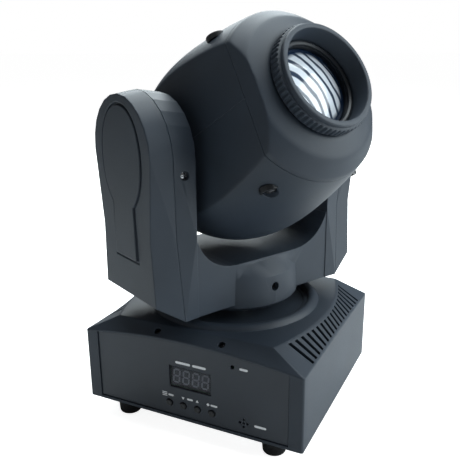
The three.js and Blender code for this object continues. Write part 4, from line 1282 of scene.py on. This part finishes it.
marks += [polygon(keys[3] - 2.6, MARK_Z, 1.2, 4, 0), bar(keys[3] - 0.8, keys[3] + 4.2, MARK_Z, 1.4)]
marks += [bar(*place) for place in (*DISPLAY_BARS, INDICATOR_BAR, MICROPHONE_BAR)]
flat_marks("panel_print", marks, panel_face - INK_THICKNESS, INK_THICKNESS, white_ink)

# %% [markdown]
# ## Screws
# The casings are held by cross-head screws at the bottom of round recesses. One head is a low dome whose
# height falls with the square of the radius, minus a cross-shaped recess. The heads of one body are one
# piece, made by carrying the same grid to each place.

# %% Screw heads
SCREW_SIDES, SCREW_RINGS = 48, 14
DOME_TOP, DOME_FALL = 0.62, 0.34
CROSS_HALF, CROSS_REACH, CROSS_DEPTH = 0.15, 0.62, 0.42


def screw_heads(name, body, spots, finish=screw_steel, slot="steel"):
    """Heads of one body. Each spot is the middle of a head's seat, its outward direction and its radius."""
    turn = np.linspace(0, 2 * np.pi, SCREW_SIDES, endpoint=False)
    ring, angle = np.meshgrid(np.linspace(0, 1, SCREW_RINGS), turn, indexing="ij")
    east, north = ring * np.cos(angle), ring * np.sin(angle)
    in_cross = (np.minimum(np.abs(east), np.abs(north)) < CROSS_HALF) & (ring < CROSS_REACH)
    rise = DOME_TOP - DOME_FALL * ring ** 2 - CROSS_DEPTH * in_cross
    grid = np.stack([east, north, rise], -1)
    skirt = np.stack([east[-1], north[-1], np.full(SCREW_SIDES, 0.0)], -1)
    foot = np.zeros((1, SCREW_SIDES, 3))
    grid = np.concatenate([grid, skirt[None], foot])
    quads = grid_quads(*grid.shape[:2], around=True)
    points, faces = [], []
    for centre, direction, radius in spots:
        axes = np.stack([*beside(direction), direction])
        faces.append(quads + len(points) * grid.shape[0] * SCREW_SIDES)
        points.append(centre + radius * grid.reshape(-1, 3) @ axes)
    return surface(name, np.concatenate(points), np.concatenate(faces), finish, body, slot)


rearward = np.array([0.0, 1.0, 0.0])
LIP_SCREW_SUNK, LIP_HEAD_RADIUS = 2.6, 1.9
FOOT_SCREW_RISE, FOOT_SCREW_RADIUS = 6.5, 3.0
INLET_SCREW_X, INLET_SCREW_RADIUS = 15.4, 1.6
SOCKET_SCREW_X, SOCKET_SCREW_Z, SOCKET_SCREW_RADIUS, SOCKET_SCREW_SUNK = 10.2, 12.6, 1.5, 0.4
lip_spots = [(centre - LIP_SCREW_SUNK * way, way, LIP_HEAD_RADIUS) for centre, way in lip_screws]
foot_spots = []
for foot in ("front_left", "front_right", "rear_left", "rear_right"):
    low, high = corners("foot_" + foot)
    middle = (low + high) / 2
    middle[2] = cad_box[0][2] / MM + FOOT_SCREW_RISE
    foot_spots.append((middle, -vertical, FOOT_SCREW_RADIUS))
inlet_low, inlet_high = corners("power_inlet")
inlet_middle = (inlet_low + inlet_high) / 2
rear_spots = [(np.array([inlet_middle[0] + sx * INLET_SCREW_X, inlet_high[1], inlet_middle[2]]), rearward,
               INLET_SCREW_RADIUS) for sx in (-1, 1)]
for socket in ("signal_input", "signal_output"):
    low, high = corners(socket)
    middle = (low + high) / 2
    flange = high[1] - SOCKET_SCREW_SUNK
    rear_spots += [(np.array([middle[0] + sx * SOCKET_SCREW_X, flange, middle[2] + sx * SOCKET_SCREW_Z]),
                    rearward, SOCKET_SCREW_RADIUS) for sx in (-1, 1)]
screw_heads("base_screws", "base", lip_spots + foot_spots + rear_spots, motor_black)

ARM_SCREW, ARM_HEAD_RADIUS = (64.0, 33.5, 166.7), 2.7
HUB_SCREW, HUB_HEAD_RADIUS = (0.0, 40.4, 84.0), 2.8
arm_spots = [(in_yoke(sx * ARM_SCREW[0], sy * ARM_SCREW[1], ARM_SCREW[2]), sy * ahead, ARM_HEAD_RADIUS)
             for sx in (-1, 1) for sy in (-1, 1)]
hub_spots = [(in_yoke(HUB_SCREW[0], sy * HUB_SCREW[1], HUB_SCREW[2]), sy * ahead, HUB_HEAD_RADIUS)
             for sy in (-1, 1)]
screw_heads("arm_screws", "yoke", arm_spots)
screw_heads("hub_screws", "yoke", hub_spots, motor_black)

SHELL_HEAD_RADIUS = 3.0
head_spots = [(in_head(sx * HEAD_SCREW[0], HEAD_SCREW[1], sz * HEAD_SCREW_FLOOR), sz * upward,
               SHELL_HEAD_RADIUS) for sx in (-1, 1) for sz in (-1, 1)]
screw_heads("head_screws", "head", head_spots, motor_black)

# %% [markdown]
# ## Cups of the head screws
# The holes in the head shells are deep, so each ends in a moulded cup that carries its screw.

# %% Cups under the head screws
CUP_PROFILE = ((-2.2, 0.0), (-2.2, 6.2), (0.9, 6.2), (0.9, 4.7), (0.0, 4.6), (0.0, 0.0))
cup_grids = []
for sx in (-1, 1):
    for sz in (-1, 1):

        def in_cup(side, above, along):
            """Place round the middle line of one cup, which opens away from the axis of the head."""
            height = sz * (HEAD_SCREW_FLOOR + along) + 0 * side
            return in_head(sx * HEAD_SCREW[0] + side, HEAD_SCREW[1] + above, height)

        cup_grids.append(turned(CUP_PROFILE, in_cup, 40))
cup_shape = cup_grids[0].shape[:2]
cup_quads = grid_quads(*cup_shape, around=True)
cup_faces = np.concatenate([cup_quads + k * cup_shape[0] * cup_shape[1] for k in range(len(cup_grids))])
surface("head_screw_cups", np.concatenate([g.reshape(-1, 3) for g in cup_grids]), cup_faces, black_plastic,
        "head", "housing")

# %% [markdown]
# ## The parts inside
# Motors, pulleys, boards and bearings keep their shape from the frame. Each gets the finish of its
# material slot, so that nothing bare shows through the grille, the slots or the sockets.

# %% Finishes of the kept nodes
slot_finish = {"housing": housing, "panel": panel_paint, "moulded_black": black_plastic,
               "display_cover": window_tint, "rubber": rubber, "circuit_board": board, "steel": steel,
               "aluminium": aluminium, "motor_black": motor_black, "led_board": copper_board,
               "lens_glass": clear_glass}
for part in frame["record"]["subparts"]:
    node = frame["nodes"][part["node"]]
    if not node.material_slots:
        node.data.materials.append(None)
    for material_slot in node.material_slots:
        material_slot.material = slot_finish[part["material_slot"]]

# %% [markdown]
# ## Bring the scene up to date
# The finished model has to stay the size of the frame. Here the scene is only brought up to date.

# %% Bring the scene up to date
bpy.context.view_layer.update()
